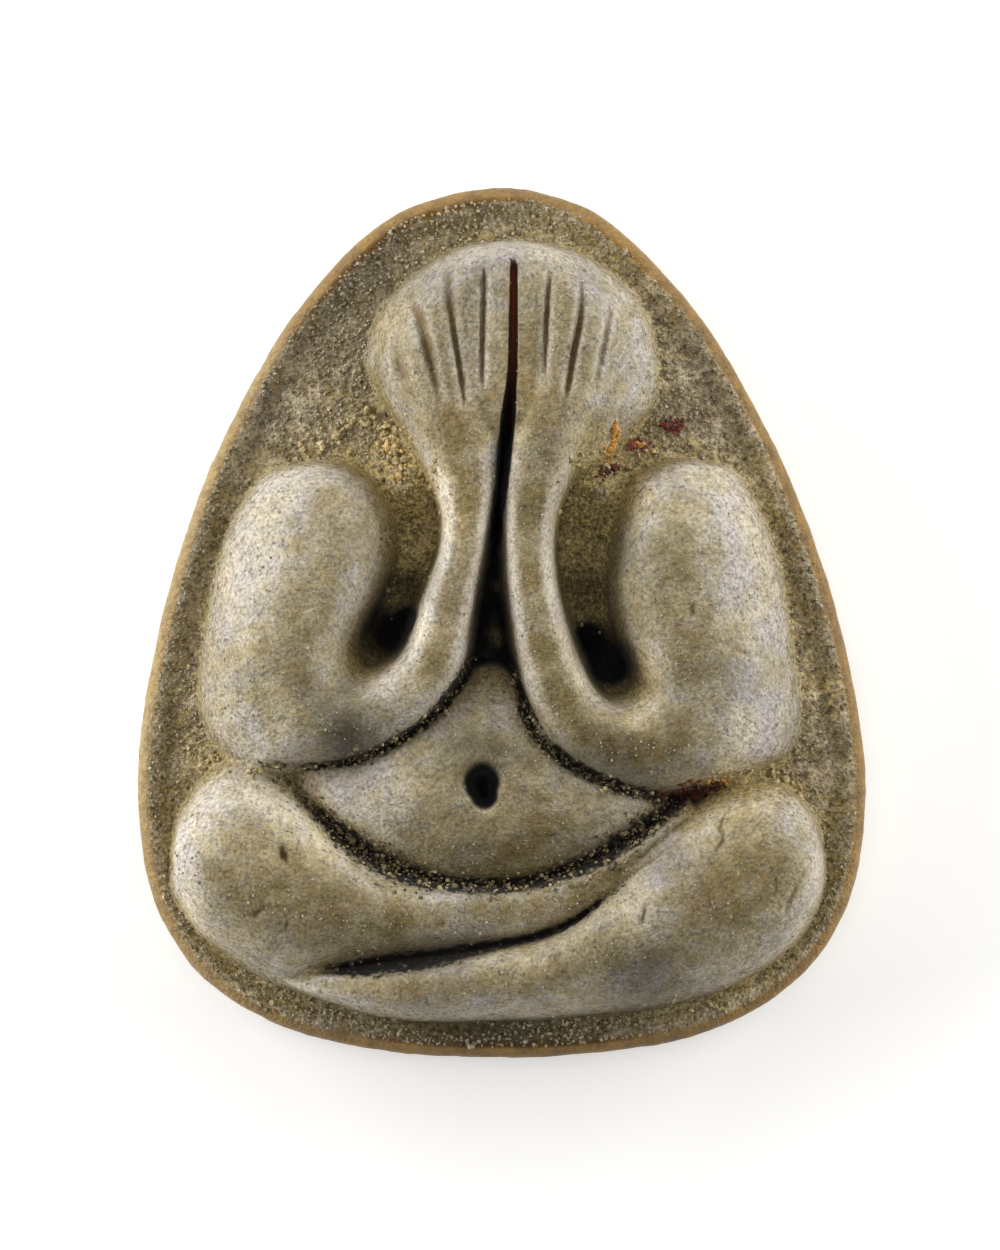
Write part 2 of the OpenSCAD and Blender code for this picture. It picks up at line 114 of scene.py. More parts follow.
HEAD = [
    [0, 15.2, 9, 15.4, 0.3], [-1, 18.2, 14, 18.3, 0.58], [-2, 22, 18.2, 22.1, 0.7],
    [-3.5, 25, 20.8, 24.8, 0.74], [-4, 28, 21.6, 28.4, 0.76], [-4, 31.4, 21.2, 31.6, 0.76],
    [-4, 34.6, 20.2, 34.8, 0.75], [-2, 38, 17.4, 38.3, 0.68], [1, 41, 11.5, 41.2, 0.4],
]
BELLY = [
    [-29.5, -15.8, -29.5, -19.6, 0.26], [-25, -13.4, -25, -23.4, 0.5], [-20, -11.8, -20, -26.8, 0.64],
    [-15, -9.8, -15, -29.3, 0.72], [-10, -7.2, -10, -30.8, 0.76], [-6, -5.9, -6, -31.3, 0.78],
    [-2, -4.6, -2, -31.5, 0.78], [2, -5.6, 2, -31.4, 0.78], [6, -8.2, 6, -30.7, 0.76],
    [10, -11.4, 10, -29.4, 0.72], [15, -13.8, 15, -27, 0.64], [19, -15.6, 19, -24.8, 0.5],
    [22.8, -17.8, 22.8, -22, 0.26],
]
LEFT_LEG = [
    [-45, -26.2, -45.1, -29.8, 0.35], [-44, -21.8, -44.3, -32.2, 0.7], [-41, -18, -41.5, -35.6, 0.9],
    [-37.3, -15.4, -37.6, -38.2, 0.96], [-33.5, -14.8, -33.4, -40.6, 0.96], [-30, -16.9, -29, -42, 0.94],
    [-26.2, -20.2, -25, -40.5, 0.9], [-22, -23.5, -20.5, -39.6, 0.84], [-17.5, -26.2, -15, -38.8, 0.79],
    [-12, -28.2, -9, -38.2, 0.74], [-6, -29.1, -3, -37.4, 0.7], [0, -29.3, 3, -36.7, 0.67],
    [5.2, -28.8, 8.4, -35.6, 0.65], [10, -27.6, 12.9, -33.6, 0.64], [14.4, -26, 16.9, -31.1, 0.62],
    [18.3, -24.2, 20.5, -28.4, 0.6], [22.2, -21.9, 24, -25.4, 0.54], [25.6, -20.2, 27, -22.6, 0.36],
]
RIGHT_LEG = [
    [44.3, -29.7, 44.2, -26, 0.35], [43.1, -33.2, 42.9, -22.2, 0.7], [40.4, -36.6, 40, -19.4, 0.9],
    [36.3, -39.5, 36.3, -18.1, 0.96], [31.5, -41.8, 32, -18.5, 0.96], [26.5, -43.2, 27.8, -20, 0.94],
    [21, -44.3, 23.2, -22.5, 0.91], [15, -44.9, 19.2, -25.5, 0.88], [9, -45.3, 15.2, -28.9, 0.85],
    [4, -45.6, 10.8, -32.7, 0.82], [-1, -45.7, 5.2, -35.3, 0.79], [-6.5, -45.8, -1.2, -36.4, 0.76],
    [-12, -45.7, -8.2, -37.4, 0.72], [-17.5, -45.1, -14.7, -38.2, 0.64], [-22, -44, -20.6, -39.2, 0.54],
    [-26.5, -42.7, -25.9, -39.6, 0.44], [-31, -41.2, -30.6, -39.4, 0.28],
]
FIGURE = [LEFT_ARM, RIGHT_ARM, HANDS, HEAD, BELLY, LEFT_LEG, RIGHT_LEG]

# Grooves between the fingers: x and y in hundredths, then width and depth in millimetres
FINGER_GROOVES = [
    [[-2.3, 40.8, 0.12, 0.05], [-2.3, 38.6, 0.16, 0.3], [-2.5, 33.4, 0.14, 0.36], [-2.6, 29, 0.14, 0.3],
     [-2.6, 26, 0.12, 0.02]],
    [[-7.2, 40.9, 0.24, 0.06], [-7.1, 38.6, 0.26, 0.26], [-6.9, 35.6, 0.22, 0.32], [-6.3, 32, 0.18, 0.36],
     [-5.5, 27.8, 0.16, 0.36], [-4.9, 23.8, 0.14, 0.04]],
    [[-12.6, 37.8, 0.22, 0.06], [-11.6, 35.6, 0.26, 0.26], [-10.7, 33.4, 0.26, 0.32],
     [-9.7, 30.2, 0.24, 0.34], [-8.9, 27.4, 0.2, 0.26], [-8.2, 24.8, 0.18, 0.03]],
    [[-14.6, 31, 0.3, 0.05], [-13.7, 29, 0.34, 0.2], [-12.8, 26.6, 0.3, 0.05]],
    [[6.6, 40.4, 0.12, 0.05], [6.4, 37.6, 0.14, 0.24], [6.1, 33, 0.12, 0.28], [6, 29, 0.12, 0.22],
     [5.9, 26.6, 0.12, 0.02]],
    [[10.8, 40, 0.14, 0.04], [10.9, 37, 0.16, 0.24], [10.7, 34.4, 0.18, 0.34], [9.9, 31, 0.18, 0.4],
     [9.2, 27.4, 0.18, 0.36], [8.6, 25, 0.14, 0.03]],
    [[15.4, 37.4, 0.14, 0.05], [14.8, 35.2, 0.16, 0.22], [14, 31.8, 0.14, 0.26], [13.2, 28.4, 0.14, 0.2],
     [12.6, 25.8, 0.14, 0.02]],
    [[1, 41.4, 0.1, 0.03], [-4.6, 37, 0.1, 0.12], [-4.8, 33, 0.1, 0.12], [-4.4, 29, 0.1, 0.03]],
]
# The slit between the hands: x and y in hundredths, and its width in millimetres
HAND_SLIT = [
    [1.7, 41, 0.18], [1.7, 39.8, 0.26], [1.65, 34, 0.28], [1.5, 28.5, 0.31], [1.2, 25.5, 0.38],
    [0.9, 23.1, 0.46], [0.5, 19.5, 0.46], [0.1, 16, 0.4], [-0.5, 12.4, 0.38], [-0.8, 8.5, 0.36],
]
# Creases where limbs were pressed together: x and y in hundredths, width and depth in millimetres
CREASES = [
    [[-3.6, -3.2, 0.3, 0.1], [-4.9, -5.6, 0.32, 0.3], [-8.1, -9.3, 0.32, 0.3], [-11.2, -11.9, 0.3, 0.35],
     [-16, -14.3, 0.32, 0.35], [-20.7, -15.9, 0.26, 0.3], [-28.6, -16.3, 0.14, 0.15],
     [-33.5, -16.2, 0.1, 0.03]],
    [[1.2, -3.6, 0.26, 0.1], [2.3, -7.2, 0.3, 0.25], [4.6, -12.9, 0.3, 0.3], [9.3, -16.2, 0.34, 0.4],
     [14.6, -18.5, 0.28, 0.4], [19.8, -19.9, 0.28, 0.35], [24, -21, 0.36, 0.2]],
    [[-27, -40, 0.1, 0.05], [-22.3, -39.8, 0.24, 0.26], [-17, -39.4, 0.5, 0.5], [-11, -38.7, 0.54, 0.55],
     [-5.5, -37.9, 0.36, 0.4], [0, -36.8, 0.24, 0.3], [5, -35.8, 0.24, 0.3], [8.5, -34.7, 0.22, 0.28],
     [12, -33, 0.18, 0.24], [16, -30.4, 0.14, 0.12], [19.5, -27.6, 0.12, 0.05]],
    [[-33, -16.8, 0.26, 0.03], [-28, -19.6, 0.4, 0.1], [-23.9, -22.8, 0.5, 0.24], [-19.7, -25.6, 0.6, 0.35],
     [-15.8, -27.6, 0.62, 0.35], [-11, -29.3, 0.54, 0.3], [-4.5, -30.2, 0.4, 0.3], [2.5, -30, 0.38, 0.3],
     [11, -27.9, 0.54, 0.35], [16.3, -25.2, 0.6, 0.35], [19.8, -23.3, 0.56, 0.3], [24.5, -20.6, 0.5, 0.2]],
]
# Fine cracks, scratches and small pits: x and y in hundredths, width and depth in millimetres
MARKS = [
    [[30.6, -21.8, 0.1, 0.1], [29.9, -23.4, 0.13, 0.16], [30.3, -24.6, 0.12, 0.14], [28.8, -26.6, 0.1, 0.05]],
    [[19.8, -32, 0.1, 0.08], [19.2, -33.8, 0.14, 0.12], [19, -34.6, 0.1, 0.04]],
    [[40.7, -29.2, 0.12, 0.06], [39.4, -31.4, 0.14, 0.1], [38.4, -33.2, 0.1, 0.03]],
    [[-30, -25.5, 0.14, 0.12], [-29.7, -26.6, 0.24, 0.34], [-29.2, -27.3, 0.16, 0.15]],
    [[-35.2, -33, 0.1, 0.06], [-33.8, -33.4, 0.14, 0.12], [-32.4, -32.6, 0.12, 0.1], [-31.6, -33, 0.1, 0.04]],
    [[-30.4, -32.6, 0.1, 0.05], [-29.2, -33.6, 0.1, 0.08], [-29.4, -35, 0.1, 0.08],
     [-30.8, -35.6, 0.1, 0.03]],
    [[-31, -30, 0.1, 0.03], [-29.4, -30.4, 0.1, 0.06], [-28.4, -31.4, 0.1, 0.03]],
    [[12, -28.8, 0.1, 0.04], [17.5, -25.9, 0.12, 0.12], [22.5, -22.9, 0.12, 0.1], [25.5, -21.3, 0.1, 0.04]],
    [[13, -30.4, 0.1, 0.04], [18.2, -27.2, 0.12, 0.12], [23, -24, 0.12, 0.12], [26.6, -21.8, 0.1, 0.04]],
    [[16, -30.2, 0.1, 0.04], [20.2, -27.4, 0.12, 0.1], [24.4, -24.6, 0.1, 0.04]],
    [[26, 1.8, 0.16, 0.1], [26.1, 0.9, 0.16, 0.1]],
    [[32.2, -3.2, 0.1, 0.06], [34, -3.9, 0.1, 0.06]],
    [[-8.8, -34.6, 0.14, 0.1], [-7.9, -34.3, 0.14, 0.1]],
    [[36.2, -27.4, 0.1, 0.05], [37.4, -29.4, 0.12, 0.08], [37, -31.4, 0.1, 0.03]],
    [[-14.4, 30.4, 0.14, 0.05], [-13.6, 28.8, 0.22, 0.18], [-12.8, 27.6, 0.14, 0.05]],
]
# The navel: x and y in hundredths, and its radius in millimetres
NAVEL = [[-2.65, -18.3, 0.68], [-2.5, -19, 0.64], [-2.3, -19.7, 0.5]]
# Powder pressed between neighbouring limbs: x and y in hundredths, then reach and height
FILLS = [
    [-35, -16.3, 0.9, 0.9], [32, -18.4, 0.9, 0.9], [-12.5, 16.2, 1.1, 1], [12.4, 15, 1, 0.8],
    [-29.5, -18.8, 0.6, 1.4], [-26.2, -21.2, 0.5, 1.1], [-15.8, -1, 0.9, -1.2], [-13, 3.5, 0.7, -0.8],
    [12.2, -3, 1, -1.3], [11, 3, 0.7, -0.8], [-0.8, 1, 0.7, -1], [-1.6, -4, 0.8, -0.9], [-0.4, 7, 0.6, -0.8],
]
# Patches, down to RIM_WORN: x and y in hundredths, then reach in millimetres and strength.
# Where the powder is browner and smoother from handling or, below nought, pale and frosty; both also stand as
# painted light, darker on tops and paler where the lamps strike
PATINA_AND_PAINTED_LIGHT = [
    [-5, 13, 0.9, 0.7], [-3.6, 7, 0.5, 0.4], [4, 13, 0.9, 0.8], [3.8, 5, 0.6, 0.9], [5, -3, 0.7, 0.9],
    [8, -9, 0.8, 0.9], [12.5, -13, 0.9, 0.8], [18, -13.5, 0.9, 0.5], [9.5, 21, 1.3, 0.9],
    [-8, 20.5, 1.2, 0.7], [-6.5, 2, 0.7, 0.5], [-9, -4, 0.7, 0.5], [-10, 31, 1.9, 0.45],
    [8.5, 33, 1.9, 0.35], [-14, 28, 1, 0.3], [-27, 1, 1.4, 0.35], [-25, -8, 1.4, 0.45], [-19.5, 9, 0.9, 0.4],
    [25, -3, 1.4, 0.45], [24.5, 6, 0.8, 0.5], [-32, -30, 2, 0.5], [-37, -28, 1.4, 0.25], [30, -31, 2.2, 0.5],
    [-14, -35.5, 1.2, 0.9], [-24, -33.5, 1.4, 0.6], [4, -42, 1.3, 0.6], [-12, -42, 1.1, 0.4],
    [0, -26.5, 1.6, 0.6], [-8, -22, 1.2, 0.2], [8, -24, 1.2, 0.4], [-10, -33.5, 0.6, 0.4],
    [-37.5, 6, 1.8, -0.6], [-32, 14, 1.5, -0.6], [36, 4, 1.8, -0.5], [30, 13.5, 1.6, -0.6],
    [1, 43, 1.6, -0.5], [-10, 42, 1.2, -0.4], [15, 40, 1.2, -0.4], [-18, -19.5, 1.3, -0.8],
    [-34.5, -20, 1.4, -0.6], [-44, -27, 0.9, -0.7], [22.5, -27, 1.2, -0.6], [19, -33, 1, -0.5],
    [-10.8, 1, 0.5, -0.9], [-8.4, 8, 0.4, -0.8], [-12.8, -2.6, 0.5, -0.8], [15, -8.6, 0.6, -0.7],
    [10, -1, 0.4, -0.5], [31, -10, 1.3, -0.4], [16, -28.5, 0.9, 0.5], [20.5, -14.5, 1, 0.4],
    [0, -22, 0.8, -0.3], [18, -20.8, 0.7, -0.4], [-30, -38, 1.3, -0.4], [19, 2, 1, 0.6],
    [26, -14.5, 1.4, 0.5], [12, -30, 1, 0.6], [-8, -32, 1, -0.6], [4, -44, 1.4, -0.6], [-27, -13, 1.4, -0.4],
    [-17, -13, 1.2, -0.3], [26, 15, 1.2, 0.3], [34, -22, 1.2, 0.3], [0, -28.5, 1.4, 0.4], [33, -11, 1, -0.7],
    [38, -12, 1, -0.7],
]
# Painted light and shade on the ground and rim, with some of their own tone: where they are paler than
# elsewhere, or darker
GROUND_TONE_AND_PAINTED_SHADING = [
    [45.6, -8.6, 0.9, 1.3], [45, -20, 1.6, 0.45], [0, -48, 3.5, -0.68], [-16, -47.5, 2.6, -0.2],
    [16, -47, 2.6, -0.2], [-17, 39, 2.4, -0.42], [-27, 23, 2.6, 0.32], [31, 25, 2.6, 0.66],
    [20, 41, 2.4, 0.52], [38.5, 12, 2.4, 0.46], [42, -1, 2, 0.4], [-13, 11, 1.3, 0.65],
    [-14.6, 4.6, 0.8, 0.1], [12.8, 12, 1.2, 0.6], [11.8, 3.6, 0.8, -0.3], [-12, 16, 1, 0.6],
    [24, 24.6, 0.7, -0.6], [-36.5, -42.5, 1.8, 0.5], [36.5, -41, 1.8, 0.55], [-44, -35, 1.2, 0.35],
    [-44, -9, 2.6, 0.22], [0, 46, 2, -0.12], [41.6, -10, 0.5, -0.35],
]
# Painted light and shade on the figure, with some of its own tone: where it is darker or paler than elsewhere
FIGURE_TONE_AND_PAINTED_SHADING = [
    [-3, -28.6, 1.6, -0.24], [9, -27.2, 1.3, -0.24], [-0.5, -14.6, 1, -0.46], [-5.6, -14.2, 1, -0.34],
    [6.5, -14.8, 0.9, -0.3], [-6, -35.3, 1.2, -0.22], [-22.5, -10, 1.4, -0.52], [-20.5, -14.6, 1.2, -0.52],
    [14.8, -15.2, 1.4, -0.5], [-8, 15, 1, 0.52], [-6.6, 11, 0.7, 0.5], [12.4, 19.8, 0.8, 0.65],
    [18.2, -9.6, 0.7, 0.8], [18.6, 8.4, 1.1, -0.34], [26.5, -9.8, 1.5, -0.32], [35.5, -6, 1.4, -0.24],
    [31, -14.6, 1.2, 0.45], [31, -19.8, 1, 0.6], [35.5, -19.6, 0.7, 0.3], [33.4, -22, 0.6, -0.36],
    [21.5, -27.5, 1.5, -0.42], [19.5, -39.6, 1.7, -0.55], [-7, -40.2, 1, -0.32], [-25.5, -40.5, 1, 0.3],
    [-42.5, -34, 1, 0.4], [-24.5, -22.6, 1.3, 0.38], [-36.5, -24.5, 1.5, 0.22], [-8.5, 39.2, 1.7, -0.34],
    [12.5, 39.6, 1.4, -0.24], [3, 26, 1.3, 0.32], [17.8, 15.6, 1, 0.6], [-8, -33, 1.2, 0.1],
    [-18.6, -5.2, 0.8, 0.65], [19.2, -4.4, 0.7, 0.5], [12.2, -6.2, 0.5, 0.45], [-11.2, -0.8, 0.6, 0.42],
    [4.5, 5, 0.8, 0.22], [18, -34.4, 1, 0.22], [10, -44.6, 1.4, 0.15], [1, 43, 1.2, -0.22],
    [40, -12.5, 1, -0.26], [43, -25, 0.9, -0.24], [20.5, -30.4, 0.7, 0.25], [-27.5, -13, 0.9, 0.2],
    [-6.5, 23.4, 0.8, 0.26], [6.2, 20.4, 0.7, -0.27],
]
# Where the crooks of the arms are painted black, as painted shade deep in the hollows
CROOK_PAINTED_SHADE = [[-15.2, -1.6, 0.7, 1.3], [-12.8, 0.6, 0.45, 1.1], [14.9, -4.8, 0.85, 1.5], [12, -1.4, 0.5, 1.2]]
# Where the painted shade of a cut or a crease is rusty
RUST = [[1.7, 38.5, 1.3, 1], [1.6, 31, 1.3, 0.6], [26.5, -19.6, 0.9, 1]]
# Where the rim's outermost edge is worn pale, with a painted highlight
EDGE_WORN_AND_LIT = [[-48, -14, 4, 0.9], [-42, 12, 4, 0.8], [-33, 29, 2.4, 0.5], [-40, -41, 3, 0.5]]
# Where the honey rim is wider than elsewhere, in millimetres
RIM_WIDTH = [
    [-8, 49, 2.4, 0.22], [-22, 42, 2.4, 0.2], [0, -50, 4.5, 0.24], [18, 44, 2, 0.12], [49, -14, 5, -0.1],
    [44, 8, 4, -0.1],
]
# Where the rim has lost its honey skin
RIM_WORN = [[-44, -37.5, 2.4, 0.9], [-36, -44, 2.6, 0.8], [-25, -48, 2.4, 0.5], [37, -43, 3, 0.8]]

# Crumbs stuck to the surface: x and y in hundredths, spread across and up, number, size, hue
CRUMBS = [
    [-18.5, 23.4, 0.32, 0.22, 26, 0.24, "gold"], [-14.6, 21.2, 0.3, 0.5, 50, 0.24, "gold"],
    [-25, 20.6, 0.5, 0.22, 22, 0.2, "gold"], [-22, 22.5, 0.4, 0.25, 14, 0.2, "gold"],
    [-9.4, 13, 0.14, 0.7, 34, 0.18, "gold"], [-11.5, 17.5, 0.35, 0.4, 26, 0.2, "gold"],
    [-40, -15.5, 0.45, 0.3, 30, 0.18, "gold"], [-32.5, -17, 0.5, 0.12, 24, 0.16, "gold"],
    [33, -17.4, 0.5, 0.18, 26, 0.18, "gold"], [39, -17.6, 0.35, 0.2, 26, 0.18, "gold"],
    [9.6, 13.6, 0.25, 0.6, 34, 0.18, "gold"], [14.2, 18.6, 0.36, 0.26, 22, 0.22, "gold"],
    [15.7, 21.9, 0.05, 0.14, 34, 0.14, "ochre"], [15.3, 20.7, 0.06, 0.2, 56, 0.15, "ochre"],
    [14.6, 19.4, 0.06, 0.18, 40, 0.14, "ochre"], [14.4, 17.4, 0.15, 0.11, 34, 0.15, "rust"],
    [14.8, 18, 0.14, 0.1, 10, 0.13, "amber"], [18, 20.8, 0.5, 0.25, 20, 0.15, "amber"],
    [19.2, 20.4, 0.14, 0.1, 30, 0.18, "red"], [23.8, 22.7, 0.2, 0.12, 40, 0.18, "red"],
    [19.4, 20.1, 0.12, 0.08, 8, 0.14, "ochre"], [23.6, 22.9, 0.18, 0.1, 14, 0.17, "dark"],
    [25.2, -19.5, 0.34, 0.14, 46, 0.19, "rust"], [27.8, -18.8, 0.34, 0.12, 40, 0.17, "rust"],
    [29.6, -18.2, 0.3, 0.12, 20, 0.15, "ochre"], [-43, -12, 0.3, 1.4, 40, 0.13, "gold"],
    [-15.4, 20, 0.26, 0.36, 30, 0.21, "amber"], [-13.6, 17.6, 0.16, 0.3, 12, 0.19, "amber"],
    [-47.3, -32.2, 0.12, 0.25, 12, 0.26, "blush"], [27, 22.5, 0.4, 0.2, 8, 0.16, "gold"],
    [-10.4, 10.5, 0.1, 0.8, 30, 0.15, "gold"], [9.6, 9, 0.1, 0.9, 24, 0.13, "gold"],
    [-12.8, 13, 0.45, 0.6, 60, 0.15, "soil"], [12.6, 13, 0.45, 0.6, 60, 0.15, "soil"],
    [-13.6, 9, 0.4, 0.7, 50, 0.15, "soil"], [13, 8.5, 0.4, 0.8, 50, 0.15, "soil"],
    [-14.6, 4.6, 0.3, 0.6, 26, 0.14, "soil"], [12.4, 3.8, 0.3, 0.7, 26, 0.14, "soil"],
    [-34, -45, 1.2, 0.22, 40, 0.15, "gold"], [32, -43.6, 1.4, 0.22, 40, 0.16, "gold"],
]
# Crumbs along a crease: its row in CREASES, number, size, hue
CREASE_CRUMBS = [
    [3, 200, 0.13, "gold"], [3, 260, 0.15, "soil"], [3, 240, 0.16, "dark"], [0, 60, 0.12, "gold"],
    [0, 90, 0.13, "soil"], [0, 80, 0.15, "dark"], [1, 46, 0.12, "gold"], [1, 90, 0.13, "soil"],
    [1, 80, 0.15, "dark"], [2, 26, 0.12, "soil"],
]
CRUMB_COLOURS = {
    "gold": ([0.2, 0.15, 0.055], [0.62, 0.5, 0.26]),
    "soil": ([0.075, 0.055, 0.02], [0.34, 0.27, 0.12]),
    "ochre": ([0.42, 0.18, 0.025], [0.62, 0.36, 0.08]),
    "red": ([0.06, 0.012, 0.008], [0.34, 0.05, 0.02]),
    "rust": ([0.02, 0.006, 0.003], [0.15, 0.032, 0.014]),
    "amber": ([0.36, 0.23, 0.06], [0.68, 0.5, 0.21]),
    "blush": ([0.48, 0.3, 0.21], [0.64, 0.48, 0.38]),
    "dark": ([0.018, 0.012, 0.005], [0.11, 0.08, 0.035]),
}
# Loose grains of the powder itself: how many, and their usual size in millimetres
GROUND_GRAINS = 9000
FIGURE_GRAINS = 5000
GRAIN_SIZE = 0.14

# The raster of heights: its cell, its margin, and the step of coarse work on it
CELL = 0.03
MARGIN = 0.9
COARSE_STEP = 4
# Steps from row to row of the tables, and across a limb
CAD_OUTLINE_STEPS = 3
OUTLINE_STEPS = 12
PATH_STEPS = 6
LIMB_STEPS = 90
LIMB_ACROSS = 420
# Mesh cells across the front and across the plainer back, which divide evenly
FRONT_CELLS = 270
BACK_CELLS = 54
# How far from its middle a line is looked for, and what counts as far away
PATH_REACH = 1.6
FAR = 9.0

# Reach of the fillets at the ground, of wear and of folds, in millimetres
FILLET_REACH = 0.7
WEAR = 0.05
FOLD_REACH = 0.16
# How high over the ground the figure starts, and how softly masks end
FIGURE_FROM = 0.15
MASK_BLUR = 0.06
# A groove's cross-section, as shares of its own width and depth
GROOVE_REACH = 0.6
FINGER_DEPTH = 0.75
SHOULDER_REACH = 2.4
SHOULDER_DEPTH = 0.25
LIP_AT = 1.1
LIP_W = 0.09
# A crease's painted shade: how much wider than its groove, and the hollows that it keeps to
CREASE_SPILL = 0.15
CREASE_HOLLOW = (0.04, 0.12)
# Depths from which a finger groove, its lip's painted highlight, a crease's painted shade and a mark show
# their full colour
GROOVE_FULL = 0.3
LIP_FULL = 0.2
CREASE_FULL = 0.28
MARK_FULL = 0.12
# Where the walls and the painted shade of slit and navel fade, in shares of the width or radius
SLIT_WALL = (0.28, 0.54)
SLIT_DARK = (0.46, 0.62)
SLIT_FLOOR = PLATE_T - 0.2
NAVEL_WALL = (0.1, 1.1)
NAVEL_DARK = (0.7, 1.15)
# The painted shade in the crooks fades out between these shares of the relief's height
CROOK_SHADE_TOP = (0.45, 0.68)
# How far and in how many directions the sky is looked for
SKY_NEAREST = 0.09
SKY_REACH = 3.4
SKY_DIRECTIONS = 16
# Width of the rim's honey skin, and how softly it ends
HONEY_W = 0.36
HONEY_FADE = 0.06
# Waves of the ground, grit of the skin and more of the ground: size of lumps, height, seed
WAVES = [[2.2, 0.05, 1]]
GRIT = [[0.45, 0.016, 11], [0.2, 0.01, 12], [1.3, 0.022, 13]]
GROUND_GRIT = [[0.38, 0.035, 14], [0.2, 0.03, 15]]
# Nothing loose lies nearer to the edge, and no grain where less of the sky is seen
CRUMB_INSET = 0.3
GRAIN_INSET = 0.35
GRAIN_SKY = 0.45


def spline(rows, steps, closed=False):
    """A table of rows made finer along a smooth curve through them."""
    rows = np.asarray(rows, float)
    before, after = (rows[-1:], rows[:2]) if closed else (rows[:1], rows[-1:])
    ring = np.vstack([before, rows, after])[:, None, :]
    a, b, c, d = ring[:-3], ring[1:-2], ring[2:-1], ring[3:]
    t = (np.arange(steps) / steps)[None, :, None]
    out = 0.5 * (2 * b + (c - a) * t + (2 * a - 5 * b + 4 * c - d) * t**2 + (3 * b - a - 3 * c + d) * t**3)
    out = out.reshape(-1, rows.shape[1])
    return out if closed else np.vstack([out, rows[-1]])


# The tables' hundredths become millimetres through the construction's own box
corner_lo, corner_hi = (np.array(c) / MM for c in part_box("amulet"))
outline_span = np.ptp(spline(OUTLINE, CAD_OUTLINE_STEPS, closed=True), axis=0)
HUNDREDTH = (corner_hi - corner_lo)[:2] / outline_span
RIM_TOP = PLATE_T + RIM_RISE
outline = spline(OUTLINE, OUTLINE_STEPS, closed=True) * HUNDREDTH

origin = outline.min(axis=0) - MARGIN
columns, lines = np.ceil((outline.max(axis=0) + MARGIN - origin) / CELL).astype(int)
X, Y = np.meshgrid(origin[0] + CELL * np.arange(columns), origin[1] + CELL * np.arange(lines))


def between(field, u, v):
    """A field's value at fractional columns u and lines v."""
    u = np.clip(u, 0, field.shape[1] - 1.001)
    v = np.clip(v, 0, field.shape[0] - 1.001)
    i, j = u.astype(int), v.astype(int)
    u, v = u - i, v - j
    lower = field[j, i] * (1 - u) + field[j, i + 1] * u
    upper = field[j + 1, i] * (1 - u) + field[j + 1, i + 1] * u
    return lower * (1 - v) + upper * v


def sample(field, x, y):
    """The raster's value at any points."""
    return between(field, (x - origin[0]) / CELL, (y - origin[1]) / CELL)


def blur(field, sigma):
    """The raster smoothed over about sigma millimetres."""
    fy = np.fft.fftfreq(field.shape[0], CELL)[:, None]
    fx = np.fft.rfftfreq(field.shape[1], CELL)[None, :]
    soft = np.exp(-2 * (math.pi * sigma) ** 2 * (fx**2 + fy**2))
    return np.fft.irfft2(np.fft.rfft2(field) * soft, field.shape)


def steepness(field, sigma):
    """The rise per millimetre of the raster, once it is smoothed."""
    return np.hypot(*np.gradient(blur(field, sigma), CELL))


def smoothstep(x, low, high):
    """From 0 at low to 1 at high, with soft ends."""
    t = np.clip((x - low) / (high - low), 0, 1)
    return t * t * (3 - 2 * t)


def fade(x, low, high):
    """From 1 at low to 0 at high, with soft ends."""
    return 1 - smoothstep(x, low, high)


def faded(away, size, shares):
    """One near by and nought far off, fading between two shares of a size."""
    return fade(away, shares[0] * size, shares[1] * size)


def bell(away, reach):
    """One at no distance, and next to nothing beyond twice the reach."""
    return np.exp(-((away / reach) ** 2))


def grain(points, size, seed):
    """Random lumps about size millimetres across, from -1 to 1, at points in space."""
    rng = np.random.default_rng(SEED * 1000 + seed)
    turn, _ = np.linalg.qr(rng.normal(size=(3, 3)))
    lattice = rng.uniform(-1, 1, (32, 32, 32))
    q = points @ turn / size
    i = np.floor(q).astype(int)
    f = q - i
    f = f * f * (3 - 2 * f)
    total = 0
    for corner in np.ndindex(2, 2, 2):
        weight = np.prod(np.where(corner, f, 1 - f), axis=-1)
        k = (i + corner) % 32
        total = total + weight * lattice[k[..., 0], k[..., 1], k[..., 2]]
    return total


def grains_of(points, layers):
    """Several layers of such lumps, added up."""
    return sum(high * grain(points, size, seed) for size, high, seed in layers)


def to_line(x, y, p, q):
    """How far points are from the line between p and q, and at which share of it."""
    e = (q - p)[:2]
    t = np.clip(((x - p[0]) * e[0] + (y - p[1]) * e[1]) / (e @ e), 0, 1)
    return np.hypot(x - p[0] - t * e[0], y - p[1] - t * e[1]), t


def near_path(points):
    """Distance from each cell to a smooth path, with the path's further columns there."""
    path = spline(points, PATH_STEPS) if len(points) > 2 else np.asarray(points, float)
    path = path * np.concatenate([HUNDREDTH, np.ones(path.shape[1] - 2)])
    first = np.maximum((path[:, :2].min(axis=0) - PATH_REACH - origin) // CELL, 0).astype(int)
    last = ((path[:, :2].max(axis=0) + PATH_REACH - origin) // CELL).astype(int)
    window = (slice(first[1], last[1]), slice(first[0], last[0]))
    x, y = X[window], Y[window]
    fields = np.ones((path.shape[1] - 1,) + X.shape)
    fields[0] = FAR
    found = fields[(slice(None),) + window]
    for p, q in zip(path[:-1], path[1:]):
        d, t = to_line(x, y, p, q)
        there = [a + (b - a) * t for a, b in zip(p[2:], q[2:])]
        found[:] = np.where(d < found[0], np.stack([d] + there), found)
    return fields


def soft_max(a, b, reach):
    """The higher of two surfaces, with a fillet where they meet."""
    near = np.maximum(reach - np.abs(a - b), 0) / reach
    return np.maximum(a, b) + near * near * reach / 4


